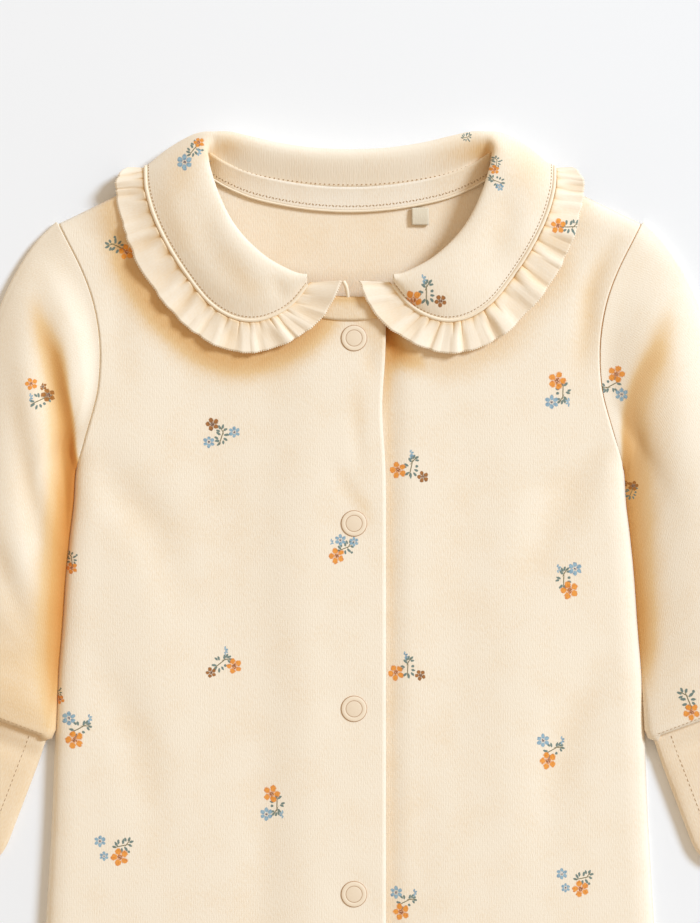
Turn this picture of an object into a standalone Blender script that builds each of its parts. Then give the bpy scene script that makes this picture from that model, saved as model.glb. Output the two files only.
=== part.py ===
"""Footed baby sleepsuit in newborn size, laid flat on its back with its front up.

+Y runs from the feet to the collar, +X to the wearer's left and +Z up from the surface
that the suit lies on. Sizes here are in millimetres, and new_object turns them into metres.
The suit is the same on both sides apart from the lap of its placket, so the tables give one
half, with x counted outwards from the middle line.
"""

import math

import bmesh
import bpy
import numpy as np

METRES = 0.001

# Driving sizes
CLOTH = 1.6
TRIM = 1.0
SEAM_GAP = 0.35
FLOOR_MID = CLOTH / 2
PLY_STEP = CLOTH + SEAM_GAP
BODY_LOFT = 3.15
EDGE_ROUND = 9.0
NECK_RAISE = 2.2
NECK_POINT = (60.5, 256.3)
SHOULDER_NORMAL = (-0.426, -0.905)
UNDERARM_Y = 132.0

PLACKET_LAP = 14.4
PLACKET_UNDER = 11.2
LAP_RISE = 1.2
LAP_SINK = 1.2
POPPER_RADIUS = 5.3
POPPER_INNER = 3.25
POPPER_HEIGHT = 0.85
POPPER_SIDES = 20
POPPER_X = 1.6
POPPER_FIRST_Y = 184.0
POPPER_PITCH = 74.2
POPPERS = 5

FOLD_GAP = 2.6
FOLD_ROUND = 0.42
EDGE_CLEAR = 1.2
CUFF_GAP = 6.0
SLEEVE_PLY = 4.9
SLEEVE_FREE = 0.12
CUFF_FROM = 0.78
SLEEVE_STATIONS = (0.0, 0.035, 0.08, 0.14, 0.21, 0.29, 0.38, 0.47, 0.57, 0.67, 0.78, 0.89, 1.0)
MITT_LENGTH = 64.0
MITT_INSET = 1.6
MITT_CORNER = 19.0
MITT_LOFT = 2.4
MITT_SLACK = 0.05
MITT_STATIONS = (-3.0, 1.0, 6.0, 13.0, 26.0, 38.0, 48.0, 56.0, 60.5)
FOOT_LENGTH = 60.72
FOOT_CORNER = 26.0
FOOT_LOFT = 2.3
FOOT_LEAN = 0.05
FOOT_STATIONS = (0.0, 10.0, 22.0, 35.0, 45.0, 52.0, 57.0)
END_ROUND = 1.3
ANKLE_Y = -205.0
CROTCH_Y = -126.0
LAP_END_Y = -112.0

COLLAR_TOP = 11.6
COLLAR_BROW = 0.9
COLLAR_CLEAR = 2.5
STAND_CLEAR = 2.1
STAND_LEAST = 3.2
COLLAR_POINTS = [0, 2, 3, 4, 5, 6, 8]
FRONT_GATHERS = 24
BACK_GATHERS = 11
RUFFLE_GAP = 0.6
RUFFLE_TIP_GAP = 2.25
RUFFLE_SAG = 0.5
RUFFLE_FINE = 24

BACK_NECK_Y = 242.6
TAPE_TOP = 1.7
TAPE_WIDTH = 7.9
TAPE_SHARE = 0.93
TAB_SIZE = 6.8
TAB_X = 28.2
BAND_TOP = 200.3
BAND_WIDTH = 9.2
BAND_REACH = 17.0
BAND_CURVE = 0.007

# Side of the body: armhole, side seam, outer leg
BODY_EDGE = (
    # y, half width
    (229.9, 116.8),
    (223.0, 113.2),
    (213.0, 108.2),
    (203.6, 104.4),
    (194.4, 101.9),
    (184.4, 100.4),
    (174.2, 100.1),
    (163.2, 101.0),
    (154.0, 103.2),
    (144.0, 106.2),
    (132.0, 109.6),
    (118.0, 110.6),
    (104.8, 112.2),
    (87.6, 113.9),
    (68.4, 115.2),
    (48.0, 116.9),
    (31.2, 117.8),
    (14.4, 118.5),
    (-8.4, 119.4),
    (-30.8, 120.7),
    (-60.0, 122.4),
    (-86.0, 123.6),
    (-106.0, 123.6),
    (-130.0, 121.0),
    (-155.0, 116.5),
    (-180.0, 112.5),
    (ANKLE_Y, 110.0),
)

# Inner leg seam, from the crotch to the ankle
LEG_EDGE = (
    # y, x
    (CROTCH_Y, 1.2),
    (-138.0, 7.4),
    (-152.0, 15.0),
    (-170.0, 25.0),
    (-188.0, 34.0),
    (ANKLE_Y, 40.0),
)

# Rows of the front: the first is the shoulder seam, then they fan round the neck
FRONT_NECK_ROWS = (
    # x at the neck, y at the neck, y at the armhole
    (*NECK_POINT, 229.9),
    (58.9, 247.0, 223.0),
    (56.0, 238.0, 213.0),
    (51.5, 228.8, 203.6),
    (45.0, 220.3, 194.4),
    (37.0, 213.0, 184.4),
    (28.0, 207.2, 174.2),
    (18.0, 203.0, 163.2),
    (8.0, 200.9, 154.0),
)

# Rows of the back, as far as its centre line
BACK_NECK_ROWS = (
    # x at the neck, y at the neck, y at the armhole
    (*NECK_POINT, 229.9),
    (53.0, 252.2, 223.0),
    (42.0, 248.0, 213.0),
    (28.0, 245.0, 203.6),
    (14.0, 243.2, 194.4),
    (0.0, BACK_NECK_Y, 184.4),
    (0.0, 232.0, 174.2),
    (0.0, 221.5, 163.2),
    (0.0, 211.0, 154.0),
)

# Below the neck a row runs from the front edge or centre line to the side
LOWER_ROWS = (
    # y at the middle, y at the side
    (200.4, 144.0),
    (188.0, 133.0),
    (170.0, 121.0),
    (148.0, 106.0),
    (124.0, 88.0),
    (98.0, 68.4),
    (68.0, 48.0),
    (38.0, 24.0),
    (8.0, -2.0),
    (-24.0, -28.0),
    (-54.0, -56.0),
    (-82.0, -83.0),
    (-106.0, -106.0),
    (-114.0, -114.0),
    (-119.5, -119.5),
    (-123.5, -123.5),
)
LEG_ROWS = (CROTCH_Y, -135.0, -150.0, -168.0, -186.0, ANKLE_Y)

# Outer line of a sleeve, from the shoulder point to the cuff
SLEEVE_OUTER = (
    # share of the way to the cuff, x, y
    (0.0, 117.4, 230.0),
    (0.10, 126.4, 220.6),
    (0.22, 135.4, 206.0),
    (0.34, 143.2, 187.0),
    (0.50, 154.5, 156.0),
    (0.66, 164.8, 122.0),
    (0.82, 174.8, 86.0),
    (1.0, 186.2, 48.6),
)

# Inner edge of a sleeve, which lies beside the body
SLEEVE_INNER_Y = (
    # share of the way to the cuff, y
    (0.0, 132.5),
    (0.10, 130.5),
    (0.22, 124.0),
    (0.34, 113.0),
    (0.50, 93.0),
    (0.66, 70.0),
    (0.82, 47.0),
    (1.0, 24.0),
)

# Top of a sleeve over its folded edges
SLEEVE_LOFT = (
    # share of the way to the cuff, height of the crest, place of the crest across the sleeve
    (0.0, 2.4, 0.50),
    (0.10, 4.8, 0.60),
    (0.22, 7.2, 0.66),
    (0.34, 8.8, 0.62),
    (0.50, 8.8, 0.56),
    (0.66, 8.0, 0.54),
    (0.82, 6.0, 0.52),
    (1.0, 2.4, 0.50),
)

# The deep crease where a lowered sleeve buckles under the arm, and softer ones beside it
SLEEVE_CREASES = (
    # places (x, y, depth, width) along each crease
    (
        (125.5, 204.0, 0.3, 5.0),
        (121.0, 186.0, 2.0, 5.5),
        (118.6, 168.0, 3.6, 5.5),
        (115.8, 149.0, 4.6, 5.0),
        (113.6, 126.0, 4.0, 4.5),
        (114.0, 108.0, 1.2, 4.0),
    ),
    (
        (134.0, 168.0, 0.2, 4.0),
        (131.0, 140.0, 1.6, 5.0),
        (126.0, 112.0, 2.2, 5.0),
        (124.0, 90.0, 0.4, 4.0),
    ),
    (
        (150.0, 118.0, 0.2, 4.0),
        (139.0, 92.0, 1.5, 5.0),
        (129.0, 66.0, 0.3, 4.0),
    ),
    (
        (168.0, 92.0, 0.2, 4.0),
        (158.0, 66.0, 1.3, 5.0),
        (150.0, 46.0, 0.3, 4.0),
    ),
)

# Soft creases of the body and the legs
BODY_CREASES = (
    (
        (100.0, 138.0, 0.3, 7.0),
        (82.0, 112.0, 1.2, 9.0),
        (66.0, 74.0, 0.2, 8.0),
    ),
    (
        (104.0, 60.0, 0.2, 8.0),
        (86.0, 22.0, 1.0, 9.0),
        (78.0, -20.0, 0.2, 8.0),
    ),
    (
        (100.0, -70.0, 0.2, 8.0),
        (72.0, -104.0, 1.5, 8.0),
        (44.0, -124.0, 1.0, 7.0),
        (24.0, -132.0, 0.2, 6.0),
    ),
    (
        (50.0, -178.0, 0.2, 6.0),
        (74.0, -188.0, 1.2, 6.0),
        (98.0, -182.0, 0.2, 6.0),
    ),
)

# Collar sections, from its front tip round the shoulder to the centre back. The fall turns
# under the suit where it passes the shoulder: turn is 0 in front of it and 1 behind it.
COLLAR_SECTIONS = (
    # base x, base y, roll x, roll y, edge x, edge y, turn
    (17.4, 203.8, 17.2, 208.2, 18.2, 206.0, 0.0),
    (21.5, 205.0, 21.0, 209.0, 24.4, 197.8, 0.0),
    (27.0, 207.4, 26.2, 211.2, 31.0, 193.0, 0.0),
    (33.4, 211.0, 32.4, 214.6, 39.0, 190.8, 0.0),
    (39.6, 215.8, 38.2, 219.2, 47.6, 192.4, 0.0),
    (45.6, 221.8, 43.8, 225.0, 56.4, 198.2, 0.0),
    (50.6, 229.0, 48.4, 231.6, 65.0, 208.8, 0.0),
    (54.4, 236.8, 52.0, 239.0, 72.4, 220.2, 0.0),
    (57.0, 244.8, 54.8, 246.4, 78.0, 231.6, 0.0),
    (58.4, 251.4, 56.8, 253.6, 81.2, 242.2, 0.0),
    (58.6, 255.2, 57.4, 259.6, 82.0, 250.0, 0.12),
    (55.6, 254.8, 55.0, 263.4, 81.8, 252.2, 0.5),
    (52.4, 253.4, 51.8, 264.2, 80.0, 250.6, 0.8),
    (48.6, 251.8, 48.0, 263.6, 74.0, 244.6, 1.0),
    (39.0, 248.2, 40.0, 261.8, 62.0, 237.4, 1.0),
    (27.0, 245.8, 28.0, 259.0, 42.0, 232.0, 1.0),
    (13.5, 244.2, 14.0, 257.0, 20.0, 230.4, 1.0),
    (0.0, 243.6, 0.0, 256.4, 0.0, 230.0, 1.0),
)

# The ruffle's outer edge at each of the collar's sections
RUFFLE_SECTIONS = (
    # outer x, outer y, lift over the front, swell of the gathers
    (3.4, 206.6, 4.3, 1.2),
    (10.6, 192.6, 4.2, 2.2),
    (22.8, 183.4, 3.2, 2.6),
    (36.6, 178.4, 2.4, 2.6),
    (51.0, 180.0, 2.2, 2.6),
    (64.4, 188.0, 2.2, 2.6),
    (76.0, 200.4, 2.2, 2.6),
    (84.4, 213.2, 2.2, 2.4),
    (90.4, 228.0, 2.2, 2.2),
    (93.4, 241.4, 2.0, 2.0),
    (93.8, 249.6, 2.4, 1.2),
    (92.6, 252.8, 2.0, 0.4),
    (90.4, 249.0, 0.0, 0.2),
    (84.6, 241.0, 0.0, 0.3),
    (70.0, 227.2, 0.0, 0.5),
    (46.0, 220.6, 0.0, 0.5),
    (21.5, 218.6, 0.0, 0.5),
    (0.0, 218.0, 0.0, 0.5),
)

CREAM = (0.93, 0.80, 0.61)
FRILL = (0.95, 0.83, 0.66)
TAB_WHITE = (0.84, 0.77, 0.63)
RING_TAN = (0.78, 0.60, 0.40)


def ease(value):
    value = min(max(value, 0.0), 1.0)
    return value * value * (3.0 - 2.0 * value)


def read(table, key, column=1):
    """The value in a column at key, on straight lines between rows sorted by column 0."""
    rows = sorted(table)
    keys = [row[0] for row in rows]
    return float(np.interp(key, keys, [row[column] for row in rows]))


def through(points, steps):
    """Points on a smooth curve through the given ones, steps to each stretch."""
    points = np.asarray(points, float)
    before = np.vstack([2 * points[0] - points[1], points, 2 * points[-1] - points[-2]])
    made = []
    for i in range(len(points) - 1):
        a, b, c, d = before[i : i + 4]
        for step in range(steps):
            t = step / steps
            made.append(
                b
                + t * (c - a) / 2
                + t * t * (a - 2.5 * b + 2 * c - d / 2)
                + t * t * t * (1.5 * (b - c) + (d - a) / 2)
            )
    made.append(points[-1])
    return np.array(made)


def half_width(y):
    return read(BODY_EDGE, y)


def crease(x, y, lines):
    """How far the creases in lines lower a panel at (x, y)."""
    total = 0.0
    for line in lines:
        best = None
        for start, end in zip(line, line[1:]):
            run = (end[0] - start[0], end[1] - start[1])
            length = run[0] ** 2 + run[1] ** 2
            t = ((x - start[0]) * run[0] + (y - start[1]) * run[1]) / length
            t = min(max(t, 0.0), 1.0)
            away = math.hypot(x - start[0] - t * run[0], y - start[1] - t * run[1])
            depth = start[2] + t * (end[2] - start[2])
            width = start[3] + t * (end[3] - start[3])
            if best is None or away < best[0]:
                best = (away, depth, width)
        away, depth, width = best
        total += depth * math.exp(-((away / width) ** 2))
    return total


def back_height(x, y):
    """Middle of the back panel's wall: on the floor, and over the collar's fall near the neck."""
    reach = math.hypot(x / 100.0, (y - 262.0) / 50.0)
    return FLOOR_MID + NECK_RAISE * (1.0 - ease((reach - 1.0) / 0.3))


def seam_distance(x, y):
    """Distance in from the closed seams: side, shoulder and inner leg."""
    x = abs(x)
    side = half_width(y) - x + EDGE_ROUND * ease((y - UNDERARM_Y) / 18.0)
    shoulder = (x - NECK_POINT[0]) * SHOULDER_NORMAL[0] + (y - NECK_POINT[1]) * SHOULDER_NORMAL[1]
    inner = EDGE_ROUND
    if y < LAP_END_Y:
        above = (y - CROTCH_Y) / (LAP_END_Y - CROTCH_Y)
        inner = x - read(LEG_EDGE, y) + EDGE_ROUND * ease(above)
    return max(min(side, shoulder, inner), 0.0)


def front_height(x, y):
    """Middle of the front's wall, before one front laps over the other."""
    inward = 1.0 - min(seam_distance(x, y) / EDGE_ROUND, 1.0)
    loft = BODY_LOFT * math.sqrt(1.0 - inward * inward)
    loft -= min(crease(abs(x), y, BODY_CREASES), 0.8 * loft)
    lap = LAP_SINK * lap_share(x, y) * max(0.0, 1.0 - loft / BODY_LOFT)
    return back_height(x, y) + PLY_STEP + loft + lap


def lap_share(x, y):
    """1 where the two fronts lap, fading to 0 beside the placket and below it."""
    beside = max(-x - PLACKET_UNDER - 1.0, x - PLACKET_LAP - 1.0, 0.0)
    return (1.0 - ease(beside / 8.0)) * ease((y - CROTCH_Y + 10.0) / 10.0)


def over_height(x, y):
    below = 0.5 * ease((LAP_END_Y - y) / 6.0)
    return front_height(x, y) + (LAP_RISE + below) * lap_share(x, y)


def under_height(x, y):
    return front_height(x, y) - LAP_SINK * lap_share(x, y)


def material(name, colour, roughness):
    made = bpy.data.materials.new(name)
    made.use_nodes = True
    made.diffuse_color = (*colour, 1.0)
    shader = made.node_tree.nodes["Principled BSDF"]
    shader.inputs["Base Color"].default_value = (*colour, 1.0)
    shader.inputs["Roughness"].default_value = roughness
    shader.inputs["Metallic"].default_value = 0.0
    return made


def new_object(name, mesh, wall, colour, roughness=0.85):
    """An object in the suit's collection, its surface given a wall on both sides."""
    data = bpy.data.meshes.new(name)
    mesh.to_mesh(data)
    mesh.free()
    made = bpy.data.objects.new(name, data)
    SUIT.objects.link(made)
    data.materials.append(material(name + " surface", colour, roughness))
    data.shade_smooth()
    if wall:
        add_wall(made, wall)
    return made


def add_wall(made, thickness):
    solid = made.modifiers.new("wall", "SOLIDIFY")
    solid.thickness = thickness * METRES
    solid.offset = 0.0


def placed_grid(points, flip=False):
    """A grid of cloth whose rows and columns stand at points[row][column]."""
    points = np.asarray(points, float)
    rows, columns = points.shape[:2]
    mesh = bmesh.new()
    bmesh.ops.create_grid(mesh, x_segments=columns - 1, y_segments=rows - 1, size=1.0)
    for vert, place in zip(mesh.verts, points.reshape(-1, 3)):
        vert.co = place * METRES
    if flip:
        bmesh.ops.reverse_faces(mesh, faces=mesh.faces)
    return mesh


def merged(mesh, within=0.0001):
    """The grid with its meeting edges sewn into one, its faces turned outwards."""
    bmesh.ops.remove_doubles(mesh, verts=mesh.verts, dist=within * METRES)
    bmesh.ops.dissolve_degenerate(mesh, edges=mesh.edges, dist=within * METRES)
    bmesh.ops.recalc_face_normals(mesh, faces=mesh.faces)
    return mesh


def shares(count, press=0.35):
    """Shares from 0 to 1 across a panel, closer together near both seams."""
    even = np.linspace(0.0, 1.0, count)
    return even - press * np.sin(2 * math.pi * even) / (2 * math.pi)


def lap_edge(y, lap):
    """Front edge of a front: straight down the placket, then rounded off to the crotch."""
    past = min(max((LAP_END_Y - y) / (LAP_END_Y - CROTCH_Y), 0.0), 1.0)
    return -lap * math.sqrt(1.0 - past * past)


def back():
    rows = []
    for x, y, side in BACK_NECK_ROWS:
        rows.append(((x, y), (half_width(side), side)))
    for y, side in LOWER_ROWS:
        rows.append(((0.0, y), (half_width(side), side)))
    for y in LEG_ROWS:
        inner = 0.0 if y == LEG_ROWS[0] else read(LEG_EDGE, y)
        rows.append(((inner, y), (half_width(y), y)))
    grid = []
    for inner, outer in rows:
        line = []
        for share in shares(7):
            x = inner[0] + share * (outer[0] - inner[0])
            y = inner[1] + share * (outer[1] - inner[1])
            line.append((x, y, back_height(x, y)))
        grid.append(line)
    made = new_object("back", placed_grid(grid, flip=True), None, CREAM)
    mirror = made.modifiers.new("other half", "MIRROR")
    mirror.merge_threshold = 0.000001
    add_wall(made, CLOTH)


def front(name, side, lap, height):
    """One front with its leg. side is -1 for the wearer's right, and lap its reach past the middle."""
    rows = []
    for x, y, armhole in FRONT_NECK_ROWS:
        rows.append(((x, y), (half_width(armhole), armhole)))
    for y, edge in LOWER_ROWS:
        rows.append(((lap_edge(y, lap), y), (half_width(edge), edge)))
    for y in LEG_ROWS:
        rows.append(((read(LEG_EDGE, y), y), (half_width(y), y)))
    grid = []
    for inner, outer in rows:
        line = []
        for share in shares(12):
            x = side * (inner[0] + share * (outer[0] - inner[0]))
            y = inner[1] + share * (outer[1] - inner[1])
            line.append((x, y, height(x, y)))
        grid.append(line)
    new_object(name, placed_grid(grid, flip=side > 0), CLOTH, CREAM)


def closed_ring(spots, tops, bottoms, stand_in, stand_out):
    """One closed section of a flattened tube, over its top from the inner edge and back below.

    spots are its places in plan, tops and bottoms the middles of its two walls there, and
    stand_in and stand_out how far its folded edges reach past the first and last spot.
    """
    first = (*(spots[0] + stand_in), (tops[0] + bottoms[0]) / 2)
    last = (*(spots[-1] + stand_out), (tops[-1] + bottoms[-1]) / 2)
    top = [(*spot, z) for spot, z in zip(spots, tops)]
    bottom = [(*spot, z) for spot, z in zip(spots, bottoms)]
    return [first, *top, last, *bottom[::-1], first]


def arch(share, power=0.8):
    """A rounded arch across a tube, 0 at its edges and 1 in the middle."""
    return max(math.sin(math.pi * min(max(share, 0.0), 1.0)), 0.0) ** power


def sleeve_edges(t, side):
    """The inner and outer edge of a sleeve at share t of the way to its cuff."""
    y = read(SLEEVE_INNER_Y, t)
    clear = EDGE_CLEAR + FOLD_ROUND * sleeve_edge_gap(t) * ease(t / 0.1)
    inner = np.array([side * (half_width(y) + clear), y])
    outer = np.array([side * read(SLEEVE_OUTER, t, 1), read(SLEEVE_OUTER, t, 2)])
    return inner, outer


def armhole_spot(share, side):
    """The sleeve's own edge along the armhole, from the underarm to the shoulder point."""
    y = SLEEVE_INNER_Y[0][1] + share * (SLEEVE_OUTER[0][2] - SLEEVE_INNER_Y[0][1])
    clear = SEAM_GAP + (EDGE_CLEAR - SEAM_GAP) * (1.0 - ease(share / 0.06))
    return np.array([side * (half_width(y) + clear), y])


def sleeve_spot(share, t, side):
    """A place in plan on a sleeve: straight across near the cuff, bowed like the armhole above."""
    inner, outer = sleeve_edges(t, side)
    first, last = sleeve_edges(0.0, side)
    chord = first + share * (last - first)
    bow = (1.0 - ease(t / 0.6)) * (armhole_spot(share, side) - chord)
    return inner + share * (outer - inner) + bow


def cuff_share(t):
    """0 along a sleeve, rising to 1 where it opens at its cuff."""
    return ease((t - CUFF_FROM) / 0.17)


def sleeve_edge_gap(t):
    """How far apart the two walls are at a sleeve's folded edges: more at the open cuff."""
    return FOLD_GAP + (CUFF_GAP - FOLD_GAP) * cuff_share(t)


def sleeve_top(share, t, spot):
    """Middle of a sleeve's upper wall, with its crest and creases."""
    place = read(SLEEVE_LOFT, t, 2)
    skew = share ** (math.log(0.5) / math.log(place)) if share > 0.0 else 0.0
    rise = read(SLEEVE_LOFT, t, 1) * arch(skew)
    rise -= crease(abs(spot[0]), spot[1], SLEEVE_CREASES) * ease(t / 0.15)
    edge = FLOOR_MID + sleeve_edge_gap(t)
    seam = max(front_height(*spot) - edge, 0.0)
    blend = ease(1.0 - t / SLEEVE_FREE)
    return edge + max(rise * (1.0 - blend) + seam * blend, 0.0)


def sleeve_low(top, t):
    """Middle of a sleeve's lower wall, which follows the upper one where that arches up."""
    apart = SLEEVE_PLY + (CUFF_GAP - SLEEVE_PLY) * cuff_share(t)
    return max(FLOOR_MID, top - apart)


def sleeve(name, side):
    across = shares(11, press=0.5)
    rings = []
    for t in SLEEVE_STATIONS:
        spots = [sleeve_spot(share, t, side) for share in across]
        tops = [sleeve_top(share, t, spot) for share, spot in zip(across, spots)]
        bottoms = [sleeve_low(top, t) for top in tops]
        after = sleeve_edges(min(t + 0.02, 1.0), side)
        before = sleeve_edges(max(t - 0.02, 0.0), side)
        reach = FOLD_ROUND * sleeve_edge_gap(t)
        runs = [end - start for start, end in zip(before, after)]
        stand_in = side * reach * ease(t / 0.1) * turned(runs[0])
        stand_out = -side * reach * turned(runs[1])
        rings.append(closed_ring(spots, tops, bottoms, stand_in, stand_out))
    new_object(name, merged(placed_grid(rings)), CLOTH, CREAM)


def turned(run):
    """The direction a quarter turn clockwise from run, of length 1."""
    return np.array([run[1], -run[0]]) / np.hypot(*run)


def rounded_width(distance, length, width, radius):
    """Share of a pouch's width left at a distance along it, its end corners rounded off."""
    past = min(max((distance - length + radius) / radius, 0.0), 1.0)
    return 1.0 - 2.0 * radius / width * (1.0 - math.sqrt(1.0 - past * past))


def pouch(name, start, along, across, sizes, distances, walls):
    """A flat tube with a closed, rounded end: a mitt or a foot.

    start is the middle of its opening, along and across its directions, sizes its length,
    width and corner radius, and walls gives the middles of both walls at a share across and
    a distance along.
    """
    length, width, radius = sizes
    stations = [(distance, 1.0) for distance in distances]
    for turn in (0.0, 0.5, 0.85, 1.0):
        angle = turn * math.pi / 2
        stations.append((length - END_ROUND * (1.0 - math.sin(angle)), math.cos(angle)))
    rings = []
    for distance, still_open in stations:
        half = width / 2 * rounded_width(distance, length, width, radius)
        spots = []
        tops = []
        bottoms = []
        for share in shares(9, press=0.5):
            spots.append(start + distance * along + (2 * share - 1) * half * across)
            low, high = walls(share, distance)
            middle = (low + high) / 2
            tops.append(middle + (high - low) / 2 * still_open)
            bottoms.append(middle - (high - low) / 2 * still_open)
        stand = FOLD_ROUND * (tops[0] - bottoms[0]) * across
        rings.append(closed_ring(spots, tops, bottoms, -stand, stand))
    new_object(name, merged(placed_grid(rings), within=0.01), CLOTH, CREAM)


def mitt_walls(share, distance):
    """Middles of a mitt's walls: inside the sleeve's end at first, then down on the floor."""
    crest = SLEEVE_LOFT[-1][1] * arch(share)
    sleeve_high = FLOOR_MID + CUFF_GAP + crest
    inside = sleeve_high - CUFF_GAP + PLY_STEP + MITT_SLACK
    out = ease((distance - 1.0) / 9.0)
    low = inside + (FLOOR_MID - inside) * out
    settle = 1.0 - 0.55 * ease(distance / MITT_LENGTH)
    apart = CUFF_GAP - 2 * PLY_STEP - 2 * MITT_SLACK
    full = FOLD_GAP + MITT_LOFT * arch(share, 0.6) * settle
    return low, low + apart + (full - apart) * ease((distance - 1.0) / 14.0)


def mitt(name, side):
    inner, outer = sleeve_edges(1.0, side)
    across = (outer - inner) / np.hypot(*(outer - inner))
    along = side * turned(across)
    width = np.hypot(*(outer - inner)) - 2 * MITT_INSET
    sizes = (MITT_LENGTH, width, MITT_CORNER)
    pouch(name, (inner + outer) / 2, along, across, sizes, MITT_STATIONS, mitt_walls)


def foot_walls(share, distance):
    """Middles of a foot's walls: its sole on the floor, its top slightly domed."""
    dome = FOOT_LOFT * arch(share, 0.6) * (1.0 - 0.5 * ease((distance - 34.0) / 26.0))
    return FLOOR_MID, FLOOR_MID + FOLD_GAP + dome


def foot(name, side):
    leg_in = read(LEG_EDGE, ANKLE_Y) + FOLD_ROUND
    leg_out = half_width(ANKLE_Y) - FOLD_ROUND
    start = np.array([side * (leg_in + leg_out) / 2, ANKLE_Y - SEAM_GAP])
    along = np.array([side * FOOT_LEAN, -1.0]) / math.hypot(FOOT_LEAN, 1.0)
    sizes = (FOOT_LENGTH, leg_out - leg_in, FOOT_CORNER)
    pouch(name, start, along, np.array([1.0, 0.0]), sizes, FOOT_STATIONS, foot_walls)


def collar_section(row):
    """Five points across the collar at one of its sections: base, roll, brow, fall and edge."""
    base = np.array(row[0:2])
    roll = np.array(row[2:4])
    edge = np.array(row[4:6])
    turn = row[6]
    if turn < 0.1:
        base_z = front_height(*base) + STAND_CLEAR
    else:
        base_z = back_height(*base) + STAND_CLEAR + 0.2 + 2.4 * (1.0 - turn)
    if turn < 0.4:
        roll_z = max(base_z + STAND_LEAST, COLLAR_TOP)
        places = lying_fall(roll, edge, roll_z, turn)
    elif turn < 0.9:
        roll_z = COLLAR_TOP - 1.2
        places = wrapping_fall(roll, edge, turn)
    else:
        roll_z = COLLAR_TOP - 1.2
        places = under_fall(roll, edge)
    return ((*base, base_z), (*roll, roll_z), *places)


def lying_fall(roll, edge, roll_z, turn):
    """The fall where it lies on the front, a little proud of it: brow, fall and edge."""
    edge_z = front_height(*edge) + COLLAR_CLEAR
    brow = roll + 0.2 * (edge - roll)
    fall = roll + 0.62 * (edge - roll)
    return (
        (*brow, roll_z + COLLAR_BROW),
        (*fall, (roll_z + edge_z) / 2 + 1.2 - 2.0 * turn),
        (*edge, edge_z),
    )


def wrapping_fall(roll, edge, turn):
    """The fall where it stands on edge, outside the shoulder seam: brow, fall and edge."""
    lower = (turn - 0.5) / 0.3
    brow = roll + 0.18 * (edge - roll) + np.array([1.6, 3.4])
    fall = roll + 0.58 * (edge - roll) + np.array([2.0, 2.6])
    return (
        (*brow, 8.4 - 2.0 * lower),
        (*fall, 5.6 - 3.0 * lower),
        (*edge, 4.4 - 2.6 * lower),
    )


def under_fall(roll, edge):
    """The fall behind the neck, turned down and under the back onto the floor."""
    aside = edge[0] - roll[0]
    outmost = roll + np.array([0.06 * aside, 2.4])
    under = roll + np.array([0.22 * aside, -1.2])
    return (
        (*outmost, 5.6),
        (*under, FLOOR_MID + 0.3),
        (*edge, FLOOR_MID),
    )


def mirrored(lines):
    """The lines of one half followed by those of the other, whose last line is the centre one."""
    other = lines[-2::-1].copy()
    other[..., 0] *= -1
    return np.concatenate([lines, other])


def collar():
    lines = [through(collar_section(row), 2) for row in COLLAR_SECTIONS]
    picked = np.array(lines)[:, COLLAR_POINTS]
    half = through(picked.reshape(len(picked), -1), 2).reshape(-1, len(COLLAR_POINTS), 3)
    half[:, :, 0] *= -1
    half[-1, :, 0] = 0.0
    half[:, :, 2] = np.maximum(half[:, :, 2], FLOOR_MID)
    new_object("collar", placed_grid(mirrored(half), flip=True), CLOTH, CREAM)


def ruffle_edges():
    """The ruffle's seam and its outer edge at each section: x, y, z and the swell of its waves."""
    seam = []
    outer = []
    for row, (x, y, lift, swell) in zip(COLLAR_SECTIONS, RUFFLE_SECTIONS):
        turn = row[6]
        at = collar_section(row)[-1]
        reach = np.array([x - at[0], y - at[1]])
        clear = RUFFLE_TIP_GAP if row is COLLAR_SECTIONS[0] else RUFFLE_GAP
        start = np.array(at[:2]) + clear * reach / np.hypot(*reach)
        if turn > 0.9:
            seam_z = outer_z = TRIM / 2
        elif turn > 0.4:
            seam_z = at[2]
            outer_z = seam_z - 0.4
        else:
            seam_z = max(at[2], front_height(*at[:2]) + 0.9 * lift)
            outer_z = front_height(x, y) + lift
        seam.append((*start, seam_z, swell))
        outer.append((x, y, outer_z, swell))
    return through(seam, RUFFLE_FINE), through(outer, RUFFLE_FINE)


def ruffle():
    seam, outer = ruffle_edges()
    last = len(COLLAR_SECTIONS) - 1
    shoulder = sum(1 for row in COLLAR_SECTIONS if row[6] < 0.6) - 1
    before = np.linspace(0, shoulder, 4 * FRONT_GATHERS + 1)
    behind = np.linspace(shoulder, last, 4 * BACK_GATHERS + 1)[1:]
    index = np.linspace(0, last, len(seam))
    half = []
    for step, place in enumerate(np.concatenate([before, behind])):
        start = np.array([np.interp(place, index, seam[:, k]) for k in range(4)])
        end = np.array([np.interp(place, index, outer[:, k]) for k in range(4)])
        wave = end[3] * (0.0, 0.5, 1.0, 0.5)[step % 4]
        sag = RUFFLE_SAG if place < shoulder else 0.0
        line = []
        for share, size in ((0.0, 0.35), (0.5, 0.75), (1.0, 1.0)):
            x, y, z = (start + share * (end - start))[:3]
            low = max(z - sag * math.sin(math.pi * share), TRIM / 2)
            line.append((-x, y, low + wave * size))
        half.append(line)
    half = np.array(half)
    half[-1, :, 0] = 0.0
    new_object("ruffle", placed_grid(mirrored(half), flip=True), TRIM, FRILL)


def strip_on(name, rows, height, colour):
    """A flat strip of trim whose rows of (x, y) lie on the panel of that height."""
    lift = CLOTH / 2 + SEAM_GAP + TRIM / 2
    grid = [[(x, y, height(x, y) + lift) for x, y in row] for row in rows]
    new_object(name, placed_grid(grid), TRIM, colour)


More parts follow.
